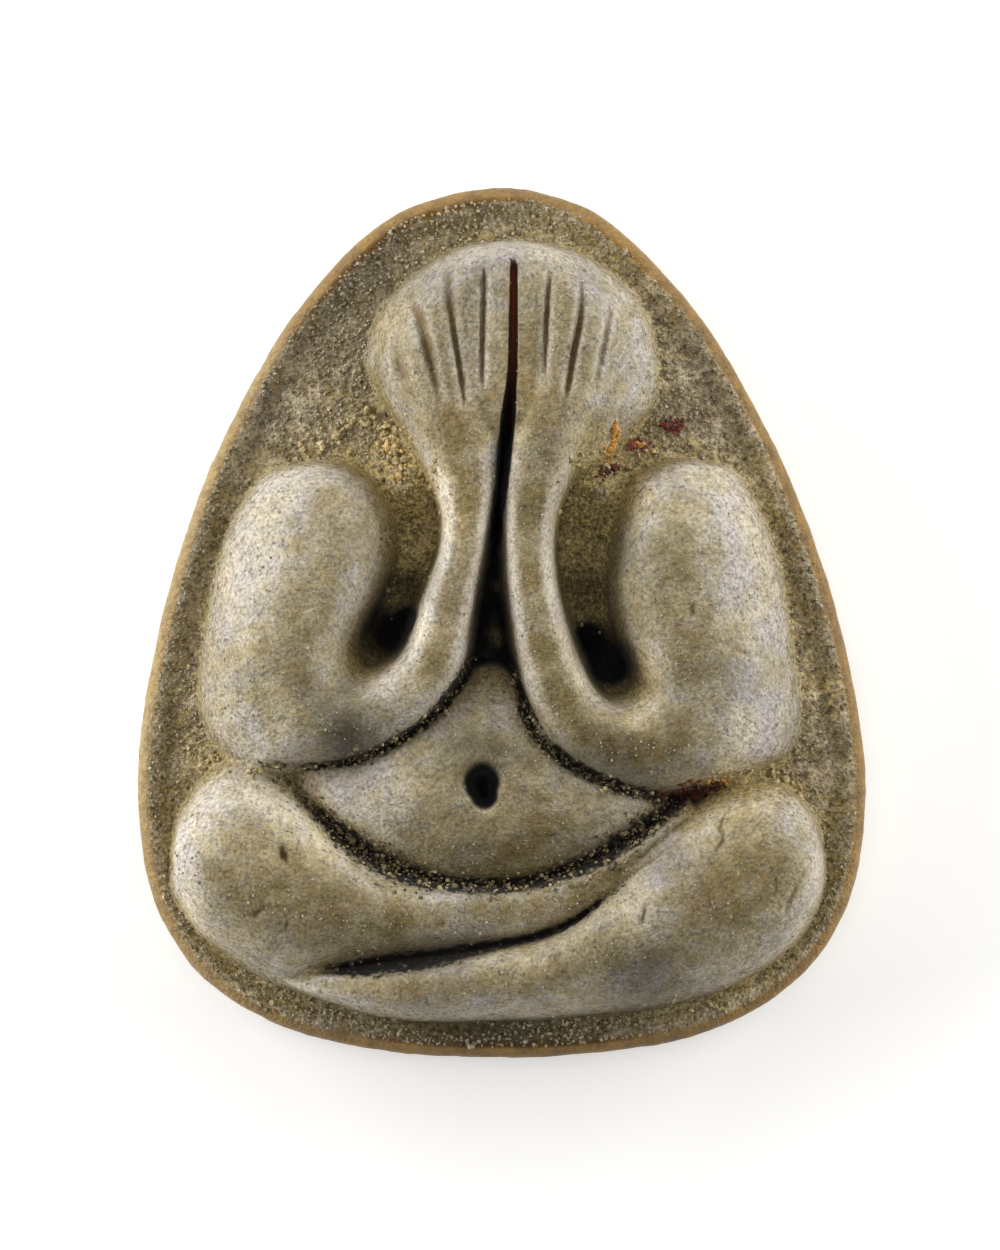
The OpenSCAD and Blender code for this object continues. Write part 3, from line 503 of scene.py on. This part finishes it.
def openness(field):
    """How much of the sky each cell sees, from 0 in a crevice to 1 on a crest."""
    coarse = field[::2, ::2]
    total = np.zeros_like(coarse)
    for angle in 2 * math.pi * np.arange(SKY_DIRECTIONS) / SKY_DIRECTIONS:
        heading = np.array([math.sin(angle), math.cos(angle)])
        horizon = np.zeros_like(coarse)
        for away in np.geomspace(SKY_NEAREST, SKY_REACH, 13):
            jump = np.rint(away / (2 * CELL) * heading).astype(int)
            seen = np.roll(coarse, tuple(-jump), axis=(0, 1))
            horizon = np.maximum(horizon, (seen - coarse) / away)
        total += 1 - horizon / np.sqrt(1 + horizon**2)
    full = np.kron(total / SKY_DIRECTIONS, np.ones((2, 2)))
    return full[: field.shape[0], : field.shape[1]]


def outline_depth():
    """How far each cell lies inside the outline, worked out on a coarser raster."""
    x, y = X[::COARSE_STEP, ::COARSE_STEP], Y[::COARSE_STEP, ::COARSE_STEP]
    best = np.full(x.shape, 1e9)
    inside = np.zeros(x.shape, bool)
    points = outline[::3]
    for p, q in zip(points, np.roll(points, -1, axis=0)):
        best = np.minimum(best, to_line(x, y, p, q)[0])
        if p[1] != q[1]:
            cross = (p[1] > y) != (q[1] > y)
            inside ^= cross & (x < (q[0] - p[0]) * (y - p[1]) / (q[1] - p[1]) + p[0])
    signed = np.where(inside, best, -best)
    u, v = np.meshgrid(np.arange(columns) / COARSE_STEP, np.arange(lines) / COARSE_STEP)
    return between(signed, u, v)


def limb(rows):
    """Heights of one limb's surface, and a very low value where it isn't."""
    rows = spline([(row + [0.5])[:6] for row in rows], LIMB_STEPS)
    t = np.linspace(0, 1, LIMB_ACROSS)[None, :]
    a = rows[:, 0:2] * HUNDREDTH
    b = rows[:, 2:4] * HUNDREDTH
    crest, crest_at = rows[:, 4:5], rows[:, 5:6]
    tallness = RELIEF_H * crest / (0.5 * np.linalg.norm(b - a, axis=1)[:, None])
    roundness = LIMB_ROUNDNESS * np.clip(tallness / SLIM_RATIO, 1, 3)
    x = a[:, :1] + (b - a)[:, :1] * t
    y = a[:, 1:] + (b - a)[:, 1:] * t
    away = np.where(t < crest_at, 1 - t / crest_at, (t - crest_at) / (1 - crest_at))
    z = PLATE_T + RELIEF_H * crest * np.maximum(0, 1 - away**roundness) ** LIMB_EDGE
    heights = np.full(X.shape, -1.0)
    i = np.rint((x - origin[0]) / CELL).astype(int)
    j = np.rint((y - origin[1]) / CELL).astype(int)
    np.maximum.at(heights, (j.ravel(), i.ravel()), z.ravel())
    return heights


def zones(table):
    """The raster of a table's soft round patches, added up."""
    total = np.zeros_like(X)
    for x, y, reach, strength in table:
        total += strength * bell(np.hypot(X - x * HUNDREDTH[0], Y - y * HUNDREDTH[1]), reach)
    return total


def relief():
    """The front as rasters: its heights, and the masks that its colours follow."""
    depth = outline_depth()
    rim = fade(depth, FRONT_EDGE_R, FRONT_EDGE_R + RIM_FLAT_W + 3 * RIM_SLOPE_W)
    cells = np.dstack([X, Y, np.zeros_like(X)])
    ground = PLATE_T + RIM_RISE * rim + grains_of(cells, WAVES) * (1 - rim)
    ground += zones(FILLS) * (1 - rim)
    limbs = np.maximum.reduce([limb(rows) for rows in FIGURE])
    plain = blur(soft_max(ground, limbs, FILLET_REACH), WEAR)
    figure = blur((limbs > ground + FIGURE_FROM).astype(float), MASK_BLUR)
    valley = blur(plain, FOLD_REACH) - plain

    height = plain.copy()
    seam, mark, lip_highlight = (np.zeros_like(height) for _ in range(3))
    for line in FINGER_GROOVES:
        away, width, deep = near_path(line)
        dip = bell(away, GROOVE_REACH * width)
        height -= FINGER_DEPTH * deep * (dip + SHOULDER_DEPTH * bell(away, SHOULDER_REACH * width))
        mark = np.maximum(mark, dip * np.minimum(1, deep / GROOVE_FULL))
        # A pale lip beside each groove: a painted highlight
        lip_highlight = np.maximum(lip_highlight, bell(away - LIP_AT * width, LIP_W) * np.minimum(1, deep / LIP_FULL))
    for line in CREASES:
        away, width, deep = near_path(line)
        dip = bell(away, GROOVE_REACH * width)
        height -= deep * dip
        # Creases are painted near-black, spilling into the hollows beside them: painted shade
        near = bell(away, CREASE_SPILL + GROOVE_REACH * width) * smoothstep(valley, *CREASE_HOLLOW)
        dark = np.minimum(1, 1.3 * np.maximum(dip, near))
        seam = np.maximum(seam, dark * np.minimum(1, deep / CREASE_FULL))
    for line in MARKS:
        away, width, deep = near_path(line)
        dip = bell(away, GROOVE_REACH * width)
        height -= deep * dip
        mark = np.maximum(mark, dip * np.minimum(1, deep / MARK_FULL))

    # The slit is shallower where it is narrow, and the navel is a bowl
    away, width = near_path(HAND_SLIT)
    deep = SLIT_D * np.clip((width - 0.14) / 0.28, 0.15, 1)
    slit = height - deep * faded(away, width, SLIT_WALL)
    height = np.maximum(slit, np.minimum(height, SLIT_FLOOR))
    # The slit and the navel are painted black: painted shade
    cut = faded(away, width, SLIT_DARK)
    away, radius = near_path(NAVEL)
    height -= NAVEL_D * faded(away, radius, NAVEL_WALL)
    cut = np.maximum(cut, faded(away, radius, NAVEL_DARK))
    # Painted shade: the low parts of the crooks of the arms are painted black
    low = fade((plain - PLATE_T) / RELIEF_H, *CROOK_SHADE_TOP)
    cut = np.maximum(cut, low * np.clip(zones(CROOK_PAINTED_SHADE), 0, 1))
    sky = blur(openness(height), MASK_BLUR)
    return SimpleNamespace(height=height, plain=plain, depth=depth, rim=rim, figure=figure,
                           valley=valley, cut=cut, seam=seam, mark=mark, lip_highlight=lip_highlight, sky=sky)


front = relief()


def border_curve(inset, angle):
    """Radius and outward direction, at some angles, of the outline drawn in by inset."""
    along = np.roll(outline, -1, axis=0) - np.roll(outline, 1, axis=0)
    outward = np.column_stack([along[:, 1], -along[:, 0]])
    outward /= np.linalg.norm(outward, axis=1)[:, None]
    points = outline - inset * outward
    known = np.arctan2(points[:, 1], points[:, 0])
    order = np.argsort(known)

    def read(values):
        return np.interp(angle, known[order], values[order], period=2 * math.pi)

    radius = np.hypot(points[:, 0], points[:, 1])
    return read(radius), np.stack([read(outward[:, 0]), read(outward[:, 1])], axis=-1)


def fitted_grid(cells, inset):
    """A square grid bent onto a disc, then stretched to the outline drawn in by inset."""
    s = np.linspace(-1, 1, cells + 1)
    u, v = np.meshgrid(s, s)
    points = np.dstack([u * np.sqrt(1 - v * v / 2), v * np.sqrt(1 - u * u / 2)])
    index = np.arange((cells + 1) ** 2).reshape(cells + 1, cells + 1)
    border = np.concatenate([index[0, :-1], index[:-1, -1], index[-1, :0:-1], index[:0:-1, 0]])
    radius, outward = border_curve(inset, np.arctan2(points[..., 1], points[..., 0]))
    return points * radius[..., None], index, border, outward.reshape(-1, 2)[border]


def relaxed(points, slope, pull=1.6, rounds=90):
    """Inner grid points drawn towards the steep places, so that walls get finer cells."""
    p = points.copy()
    for _ in range(rounds):
        s = 1 + pull * np.minimum(sample(slope, p[..., 0], p[..., 1]), 3.5)
        total = np.zeros_like(p[1:-1, 1:-1])
        weight = np.zeros(total.shape[:2] + (1,))
        for dj, di in ((0, 1), (0, -1), (1, 0), (-1, 0)):
            rows = slice(1 + dj, p.shape[0] - 1 + dj)
            cols = slice(1 + di, p.shape[1] - 1 + di)
            w = (s[1:-1, 1:-1] + s[rows, cols])[..., None]
            total += w * p[rows, cols]
            weight += w
        p[1:-1, 1:-1] = 0.4 * p[1:-1, 1:-1] + 0.6 * total / weight
    return p


def quads(index):
    """The cells of a grid, as four points each."""
    corners = [index[:-1, :-1], index[:-1, 1:], index[1:, 1:], index[1:, :-1]]
    return np.stack(corners, axis=-1).reshape(-1, 4)


def side_profile():
    """From the front's border to the back: how far out, and how high, each ring lies."""
    front_turns = np.linspace(0, 0.5 * math.pi, 6)[1:]
    back_turns = np.linspace(0, 0.5 * math.pi, 5)[1:]
    r, s = FRONT_EDGE_R, BACK_EDGE_R
    profile = [(r * math.sin(a), RIM_TOP - r * (1 - math.cos(a))) for a in front_turns]
    profile += [(r, z) for z in np.linspace(RIM_TOP - r, s, 7)[1:]]
    profile += [(r - s * (1 - math.cos(b)), s * (1 - math.sin(b))) for b in back_turns]
    return profile


def build_surface():
    """Points and sides of the whole amulet's skin."""
    slope = blur(steepness(front.height, 0.08), 0.08)
    grid, index, border, outward = fitted_grid(FRONT_CELLS, FRONT_EDGE_R)
    flat = relaxed(grid, slope).reshape(-1, 2)
    points = [np.column_stack([flat, sample(front.height, flat[:, 0], flat[:, 1])])]
    faces = [quads(index)]

    last, count = border, len(flat)
    for out, z in side_profile():
        ring = flat[border] + out * outward
        points.append(np.column_stack([ring, np.full(len(ring), z)]))
        now = count + np.arange(len(ring))
        faces.append(np.stack([last, now, np.roll(now, -1), np.roll(last, -1)], axis=-1))
        last, count = now, count + len(ring)

    back, back_index, back_border, _ = fitted_grid(BACK_CELLS, BACK_EDGE_R + 0.4)
    back = back.reshape(-1, 2)
    points.append(np.column_stack([back, np.zeros(len(back))]))
    faces.append(quads(back_index + count)[:, ::-1])

    # Each border point of the back serves several points of the last ring
    inner = back_border + count
    after = np.roll(inner, -1)
    step = len(last) // len(inner)
    fine = last.reshape(-1, step)
    fine = np.column_stack([fine, np.roll(fine[:, 0], -1)])
    turn_at = step // 2 + 1
    fans = [[fine[:, j], inner if j < turn_at else after, fine[:, j + 1]] for j in range(step)]
    fans.append([fine[:, turn_at], inner, after])
    triangles = np.vstack([np.stack(fan, axis=-1) for fan in fans])
    return np.vstack(points), np.vstack(faces).tolist() + triangles.tolist()


def make_mesh(name, points, sides):
    """A smooth piece in the scene, from points in millimetres."""
    mesh = bpy.data.meshes.new(name)
    mesh.from_pydata((points * MM).tolist(), [], sides)
    mesh.update()
    mesh.shade_smooth()
    piece = bpy.data.objects.new(name, mesh)
    bpy.context.collection.objects.link(piece)
    return piece


def srgb(r, g, b):
    """A colour as seen on a screen, in the numbers that a shader takes."""
    parts = [c / 255 for c in (r, g, b)]
    return [c / 12.92 if c < 0.04045 else ((c + 0.055) / 1.055) ** 2.4 for c in parts] + [1]


class Graph:
    """Short calls that build one material's nodes."""

    def __init__(self, name):
        self.material = bpy.data.materials.new(name)
        self.material.use_nodes = True
        self.tree = self.material.node_tree
        self.shader = self.tree.nodes["Principled BSDF"]
        place = {0: self.tree.nodes.new("ShaderNodeTexCoord").outputs["Object"], "Scale": 1 / MM}
        self.place = self.add("ShaderNodeVectorMath", place, operation="SCALE").outputs[0]

    def plug(self, socket, value):
        """A socket's value, or its link if the value is another socket."""
        if isinstance(value, bpy.types.NodeSocket):
            self.tree.links.new(value, socket)
        else:
            socket.default_value = value

    def add(self, kind, inputs, **settings):
        node = self.tree.nodes.new(kind)
        for key, value in settings.items():
            setattr(node, key, value)
        for key, value in inputs.items():
            self.plug(node.inputs[key], value)
        return node

    def mask(self, name):
        return self.add("ShaderNodeAttribute", {}, attribute_name=name).outputs["Fac"]

    def noise(self, size, detail=2.0, rough=0.5, shift=0.0):
        """Random patches about size millimetres across, from 0 to 1."""
        moved = {0: self.place, 1: (shift, shift * 1.7, shift * 0.6)}
        moved = self.add("ShaderNodeVectorMath", moved).outputs[0]
        wanted = {"Vector": moved, "Scale": 1 / size, "Detail": detail, "Roughness": rough}
        return self.add("ShaderNodeTexNoise", wanted).outputs["Fac"]

    def math(self, operation, a, b):
        return self.add("ShaderNodeMath", {0: a, 1: b}, operation=operation).outputs[0]

    def total(self, first, *others):
        for value in others:
            first = self.math("ADD", first, value)
        return first

    def product(self, a, b):
        return self.math("MULTIPLY", a, b)

    def span(self, value, low, high, to_low=0.0, to_high=1.0):
        """A stretch of a value mapped to another and held at its ends."""
        wanted = {"Value": value, "From Min": low, "From Max": high, "To Min": to_low, "To Max": to_high}
        return self.add("ShaderNodeMapRange", wanted, clamp=True).outputs["Result"]

    def swing(self, noise, reach):
        """Random patches from minus reach to reach."""
        return self.span(noise, 0.3, 0.7, -reach, reach)

    def mix(self, share, a, b, blend="MIX"):
        wanted = {0: share, 6: a, 7: b}
        return self.add("ShaderNodeMix", wanted, data_type="RGBA", blend_type=blend).outputs[2]

    def link(self, name, value):
        self.tree.links.new(value, self.shader.inputs[name])

    def bump(self, height_mm):
        wanted = {"Height": height_mm, "Strength": 1.0, "Distance": MM}
        self.link("Normal", self.add("ShaderNodeBump", wanted).outputs["Normal"])


def figure_colour(g, m, n):
    """Handled brown against frost, by chosen places, slopes and chance; steep slopes are painted paler and
    flat tops browner as painted light.
    """
    # Steep slopes paler and flat tops browner: painted light from the side lamps, with frost
    slope_light = g.span(m.slope, 0.0, 1.0, 0.30, -0.25)
    chance = (g.swing(n.broad, 0.25), g.swing(n.mottle, 0.45), g.swing(n.coarse, 0.25))
    age_and_slope_light = g.total(m.patina, slope_light, *chance)
    tint = g.span(n.tint, 0.4, 0.6)
    frost_and_lit = g.mix(tint, srgb(182, 172, 150), srgb(176, 168, 160))
    beige = g.mix(tint, srgb(156, 142, 108), srgb(148, 138, 112))
    brown = g.mix(g.span(n.tint, 0.42, 0.62), srgb(112, 99, 62), srgb(120, 101, 62))
    body = g.mix(g.span(age_and_slope_light, -0.7, 0.15), frost_and_lit, beige)
    body = g.mix(g.span(age_and_slope_light, 0.15, 1.1), body, brown)
    return g.mix(g.product(m.ridge, 0.4), body, srgb(200, 192, 180))


def ground_colour(g, n):
    """The gritty ground round the figure."""
    ground = g.mix(g.span(n.mottle, 0.35, 0.65), srgb(132, 114, 74), srgb(170, 158, 130))
    return g.mix(g.span(n.tint, 0.55, 0.75, 0.0, 0.5), ground, srgb(156, 138, 128))


def with_rim(g, m, n, colour):
    """The rim's honey skin, its outermost edge worn pale and given a painted highlight."""
    honey = g.mix(g.span(n.mottle, 0.38, 0.66), srgb(106, 71, 6), srgb(142, 101, 24))
    colour = g.mix(g.product(m.honey, g.span(n.coarse, 0.3, 0.6, 0.7, 1.0)), colour, honey)
    worn_and_lit = g.product(m.edge, g.span(n.coarse, 0.35, 0.65, 0.6, 1.0))
    return g.mix(worn_and_lit, colour, srgb(178, 156, 112))


def with_soil(g, m, n, colour):
    """Soil in the low and closed-in places."""
    ragged = g.total(m.openness, g.swing(n.coarse, 0.08))
    share = g.product(g.span(ragged, 0.66, 0.42, 0.0, 0.85), g.span(m.level, 0.75, 0.35))
    soil = g.mix(g.span(n.fine, 0.35, 0.65), srgb(112, 96, 52), srgb(154, 136, 86))
    return g.mix(share, colour, soil)


def with_grains(g, m, n, colour):
    """Light and dark grains, and the painted light and shade of the chosen patches, all as one multiplier."""
    lift = g.total(g.span(n.fine, 0.25, 0.75, -0.60, 0.60), g.swing(n.coarse, 0.34))
    strength = g.product(g.span(m.figure, 0.0, 1.0, 0.95, 0.80), g.span(m.honey, 0.0, 1.0, 1.0, 0.35))
    lift = g.total(g.product(lift, strength), 1.0)
    # The chosen patches scale the colour with painted light and shade
    lift = g.product(lift, g.total(m.shade, 1.0))
    grey = g.add("ShaderNodeCombineColor", {0: lift, 1: lift, 2: lift}).outputs[0]
    return g.mix(1.0, colour, grey, "MULTIPLY")


def with_dark_places(g, m, n, colour):
    """Dirt and painted shade in crevices, brown grooves, and creases and cuts painted near-black or rusty as
    painted shade.
    """
    # Near-black in the most closed-in low places: dirt and painted shade
    grime_and_shade = g.product(g.span(m.openness, 0.20, 0.10), g.span(m.level, 0.9, 0.6))
    colour = g.mix(grime_and_shade, colour, srgb(8, 5, 3))
    scored = g.total(m.line, g.swing(n.coarse, 0.3))
    colour = g.mix(g.span(scored, 0.2, 0.9, 0.0, 0.8), colour, srgb(96, 74, 40))
    # Painted shade: creases near-black, rusty in places
    ragged_crease_shade = g.total(m.seam, g.swing(n.coarse, 0.4), g.swing(n.fine, 0.25))
    crease_shade_colour = g.mix(m.rust, srgb(18, 13, 6), srgb(70, 24, 14))
    colour = g.mix(g.span(ragged_crease_shade, 0.35, 0.80), colour, crease_shade_colour)
    # Cuts are painted black, rusty in places: painted shade
    hole_shade = g.mix(m.rust, srgb(5, 4, 3), srgb(128, 66, 42))
    return g.mix(g.span(m.cut, 0.2, 0.9), colour, hole_shade)


def powder_material(masks):
    """Aged pressed powder: frosty slopes, brown handled places, gritty ground and a honey rim, with painted
    light on slopes and edges and painted shade in crevices, creases and cuts.
    """
    g = Graph("pressed_powder")
    m = SimpleNamespace(**{name: g.mask(name) for name in masks})
    n = SimpleNamespace(
        fine=g.noise(0.12, 2.0, 0.6, 3.0),
        coarse=g.noise(0.28, 2.0, 0.6, 7.0),
        mottle=g.noise(0.65, 2.0, 0.6, 5.0),
        tint=g.noise(1.3, 2.0, 0.5, 12.0),
        broad=g.noise(3.0, 1.0, 0.5, 9.0),
    )
    colour = g.mix(m.figure, ground_colour(g, n), figure_colour(g, m, n))
    for layer in (with_rim, with_soil, with_grains, with_dark_places):
        colour = layer(g, m, n, colour)
    g.link("Base Color", colour)
    dull = g.math("MAXIMUM", m.cut, m.seam)
    g.link("Roughness", g.math("MAXIMUM", g.span(n.mottle, 0.3, 0.7, 0.46, 0.64), dull))
    g.shader.inputs["Specular IOR Level"].default_value = 0.28
    g.shader.inputs["Sheen Weight"].default_value = 0.06
    g.shader.inputs["Sheen Roughness"].default_value = 0.4
    g.bump(g.product(g.noise(0.15, 3.0, 0.65, 1.0), g.span(m.figure, 0.0, 1.0, 0.10, 0.07)))
    return g.material


def crumb_material(name, low, high):
    """Gritty grains of one hue, from a low colour to a high one."""
    g = Graph(name)
    g.link("Base Color", g.mix(g.span(g.noise(0.16), 0.35, 0.65), low, high))
    g.shader.inputs["Roughness"].default_value = 0.55
    g.bump(g.product(g.noise(0.06), 0.02))
    return g.material


def crumb_places(rng):
    """Middle points and sizes of all crumbs, for each colour."""
    places = {}

    def scatter(found, size, hue):
        found = found[sample(front.depth, found[:, 0], found[:, 1]) > CRUMB_INSET]
        sizes = size * np.exp(rng.normal(0, 0.35, len(found)))
        places.setdefault(hue, []).append(np.column_stack([found, sizes]))

    for x, y, spread_x, spread_y, count, size, hue in CRUMBS:
        middle = np.array([x, y]) * HUNDREDTH
        scatter(middle + rng.normal(size=(count, 2)) * (spread_x, spread_y), size, hue)
    for line, count, size, hue in CREASE_CRUMBS:
        path = spline(CREASES[line], 12)
        chosen = path[rng.integers(6, len(path) - 2, count)]
        beside = rng.normal(0, 1, (count, 2)) * 0.44 * chosen[:, 2:3]
        scatter(chosen[:, :2] * HUNDREDTH + beside, size, hue)
    return {hue: np.vstack(parts) for hue, parts in places.items()}


def solid_shape(facets):
    """Points and sides of a ball of 20 triangles or, for the smallest grains, of 8."""
    ball = bmesh.new()
    if facets == 20:
        bmesh.ops.create_icosphere(ball, subdivisions=1, radius=1.0)
    else:
        bmesh.ops.create_uvsphere(ball, u_segments=4, v_segments=2, radius=1.0)
    points = np.array([v.co for v in ball.verts])
    sides = [[v.index for v in f.verts] for f in ball.faces]
    ball.free()
    return points, sides


def scattered(name, places, facets, material, rng, sink=0.12):
    """A joined mesh of dented little solids that sit in the amulet's surface."""
    shape, sides = solid_shape(facets)
    count = len(places)
    turns, _ = np.linalg.qr(rng.normal(size=(count, 3, 3)))
    dents = rng.uniform(0.7, 1.2, (count, len(shape), 1))
    squeeze = rng.uniform(0.6, 1.0, (count, 1, 3))
    foot = sample(front.height, places[:, 0], places[:, 1])
    middle = np.column_stack([places[:, :2], foot + sink * places[:, 2]])
    points = 0.5 * places[:, None, 2:3] * (dents * shape) @ turns * squeeze + middle[:, None, :]
    faces = [[i + k * len(shape) for i in side] for k in range(count) for side in sides]
    piece = make_mesh(name, points.reshape(-1, 3), faces)
    piece.data.shade_flat()
    piece.data.materials.append(material)
    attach(piece, "root")


def crumbs():
    """Crumbs of soil and drops of resin that cling to the amulet, one piece for each colour."""
    rng = np.random.default_rng(SEED)
    for hue, places in crumb_places(rng).items():
        material = crumb_material("crumb_" + hue, *([*colour, 1] for colour in CRUMB_COLOURS[hue]))
        scattered("crumbs_" + hue, places, 20, material, rng)


def grains():
    """Grains of the powder that stand out of the ground and, more finely, out of the figure."""
    rng = np.random.default_rng(SEED + 1)
    places = rng.uniform(0, 1, (8 * GROUND_GRAINS, 2)) * np.ptp(outline, axis=0)
    places += outline.min(axis=0)
    x, y = places.T
    inside = sample(front.depth, x, y) > GRAIN_INSET
    figure_here = sample(front.figure, x, y)
    on_ground = places[inside & (figure_here < 0.5)][:GROUND_GRAINS]
    on_limbs = places[inside & (figure_here > 0.5)][:FIGURE_GRAINS]
    for name, chosen, size, low, high in (
        ("ground_grains", on_ground, GRAIN_SIZE, srgb(92, 78, 46), srgb(184, 172, 144)),
        ("figure_grains", on_limbs, 0.6 * GRAIN_SIZE, srgb(120, 108, 78), srgb(182, 172, 152)),
    ):
        sizes = size * np.exp(rng.normal(0, 0.3, len(chosen)))
        open_here = sample(front.sky, chosen[:, 0], chosen[:, 1]) > GRAIN_SKY
        kept = np.column_stack([chosen, sizes])[open_here]
        scattered(name, kept, 8, crumb_material(name, low, high), rng, sink=0.0)


def skin_masks(x, y, z, on_front, figure_here):
    """What the powder's colours follow, as a number for each point of the skin."""

    def seen(field, elsewhere=0.0):
        """The raster on the front, and one value at the sides and back."""
        return np.where(on_front, sample(field, x, y), elsewhere)

    # Convex crests and groove lips are painted paler: wear, with painted highlights on the lips
    crest = np.maximum(smoothstep(-front.valley, 0.02, 0.10), 0.9 * front.lip_highlight)
    rim_ends = HONEY_W + zones(RIM_WIDTH)
    honey = fade(front.depth, rim_ends - HONEY_FADE, rim_ends + HONEY_FADE)
    honey *= np.clip(1 - zones(RIM_WORN), 0, 1)
    edge = fade(seen(front.depth), 0.08, 0.20) * smoothstep(z, 2.8, 3.6)
    # The rim's outer edge is painted pale, most along the left: wear and a painted highlight
    worn_and_lit = 0.3 + 0.7 * np.clip(sample(zones(EDGE_WORN_AND_LIT), x, y), 0, 1)
    return {
        "openness": seen(front.sky, 1.0),
        "ridge": figure_here * seen(crest),
        "seam": seen(front.seam),
        "slope": seen(smoothstep(steepness(front.plain, 0.12), 0.12, 0.9)),
        "level": seen((front.plain - PLATE_T) / RELIEF_H, 1.0),
        "patina": seen(zones(PATINA_AND_PAINTED_LIGHT)),
        # Painted light and shade, with some of the powder's own tone, from the chosen patches
        "shade": (1 - figure_here) * seen(zones(GROUND_TONE_AND_PAINTED_SHADING)) + figure_here * seen(zones(FIGURE_TONE_AND_PAINTED_SHADING)),
        "line": seen(front.mark),
        "rust": seen(np.clip(zones(RUST), 0, 1)),
        "figure": figure_here,
        "cut": seen(front.cut),
        "honey": seen(honey, smoothstep(z, 0.6, 3.2)),
        "edge": worn_and_lit * edge,
    }


def amulet():
    """The amulet's skin, gritted along its own normals and painted with its masks."""
    points, sides = build_surface()
    piece = make_mesh("amulet_skin", points, sides)
    mesh = piece.data
    normals = np.empty(3 * len(points), dtype=np.float32)
    mesh.vertex_normals.foreach_get("vector", normals)

    x, y, z = points.T
    on_front = np.arange(len(points)) < (FRONT_CELLS + 1) ** 2
    figure_here = on_front * sample(front.figure, x, y)
    ground_here = on_front * (1 - figure_here) * (1 - sample(front.rim, x, y))
    grit = grains_of(points, GRIT) + ground_here * grains_of(points, GROUND_GRIT)
    grit *= smoothstep(z, 0.0, 0.5)
    points = points + normals.reshape(-1, 3) * grit[:, None]
    mesh.vertices.foreach_set("co", (points * MM).astype(np.float32).ravel())
    mesh.update()

    masks = skin_masks(x, y, points[:, 2], on_front, figure_here)
    for name, values in masks.items():
        layer = mesh.attributes.new(name, "FLOAT", "POINT")
        layer.data.foreach_set("value", np.ascontiguousarray(values, dtype=np.float32))
    mesh.materials.append(powder_material(masks))
    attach(piece, "root")
    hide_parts("amulet")


# Studio lamps, in metres and watts: name, place, width and height, power
LAMPS = [
    ["strip_left", (-0.18, 0.045, 0.075), (0.22, 0.08), 0.52],
    ["strip_right", (0.18, 0.045, 0.070), (0.22, 0.08), 0.41],
    ["strip_top", (0.0, 0.18, 0.100), (0.25, 0.09), 0.19],
    ["fill_front", (0.0, -0.02, 0.60), (0.25, 0.25), 0.78],
]
LAMP_AIM = Vector((0, 0, 0.004))
FLOOR_W = 1.2
FLOOR_GAP = 0.00002


def studio():
    """Pale floor, soft strips at the left, right and top, and a weak fill from the front."""
    bpy.ops.mesh.primitive_plane_add(size=FLOOR_W, location=(0, 0, -FLOOR_GAP))
    floor = bpy.context.object
    floor.name = "floor"
    g = Graph("floor_paper")
    g.link("Base Color", g.mix(g.noise(30.0), srgb(236, 235, 233), srgb(244, 243, 241)))
    g.shader.inputs["Roughness"].default_value = 0.9
    g.shader.inputs["Emission Color"].default_value = srgb(255, 255, 255)
    g.shader.inputs["Emission Strength"].default_value = 0.3
    floor.data.materials.append(g.material)

    for name, place, size, power in LAMPS:
        data = bpy.data.lights.new(name, "AREA")
        data.shape = "RECTANGLE"
        data.size, data.size_y = size
        data.energy = power
        lamp = bpy.data.objects.new(name, data)
        bpy.context.collection.objects.link(lamp)
        lamp.location = place
        lamp.rotation_euler = (LAMP_AIM - Vector(place)).to_track_quat("-Z", "Y").to_euler()
    world = bpy.data.worlds.new("studio")
    bpy.context.scene.world = world
    world.use_nodes = True
    background = world.node_tree.nodes["Background"]
    background.inputs["Color"].default_value = (1, 1, 1, 1)
    background.inputs["Strength"].default_value = 0.03


# The photograph's frame in pixels, and where the amulet's middle and width lie in it
PHOTO_W, PHOTO_H = 1000, 1250
AMULET_PX = 729
MIDDLE_PX = (501.5, 622.5)
CAMERA_HEIGHT = 0.35


def camera():
    """A long lens straight above the amulet, with the photograph's framing."""
    pixel = (corner_hi - corner_lo)[0] * MM / AMULET_PX
    data = bpy.data.cameras.new("camera")
    data.sensor_fit = "HORIZONTAL"
    data.sensor_width = 36
    data.lens = data.sensor_width * (CAMERA_HEIGHT - RIM_TOP * MM) / (PHOTO_W * pixel)
    lens = bpy.data.objects.new("camera", data)
    bpy.context.collection.objects.link(lens)
    middle = 0.5 * (corner_lo + corner_hi) * MM
    lens.location = (
        middle[0] - (MIDDLE_PX[0] - PHOTO_W / 2) * pixel,
        middle[1] + (MIDDLE_PX[1] - PHOTO_H / 2) * pixel,
        CAMERA_HEIGHT,
    )
    bpy.context.scene.camera = lens


bpy.context.scene.view_settings.view_transform = "Standard"
amulet()
crumbs()
grains()
studio()
camera()
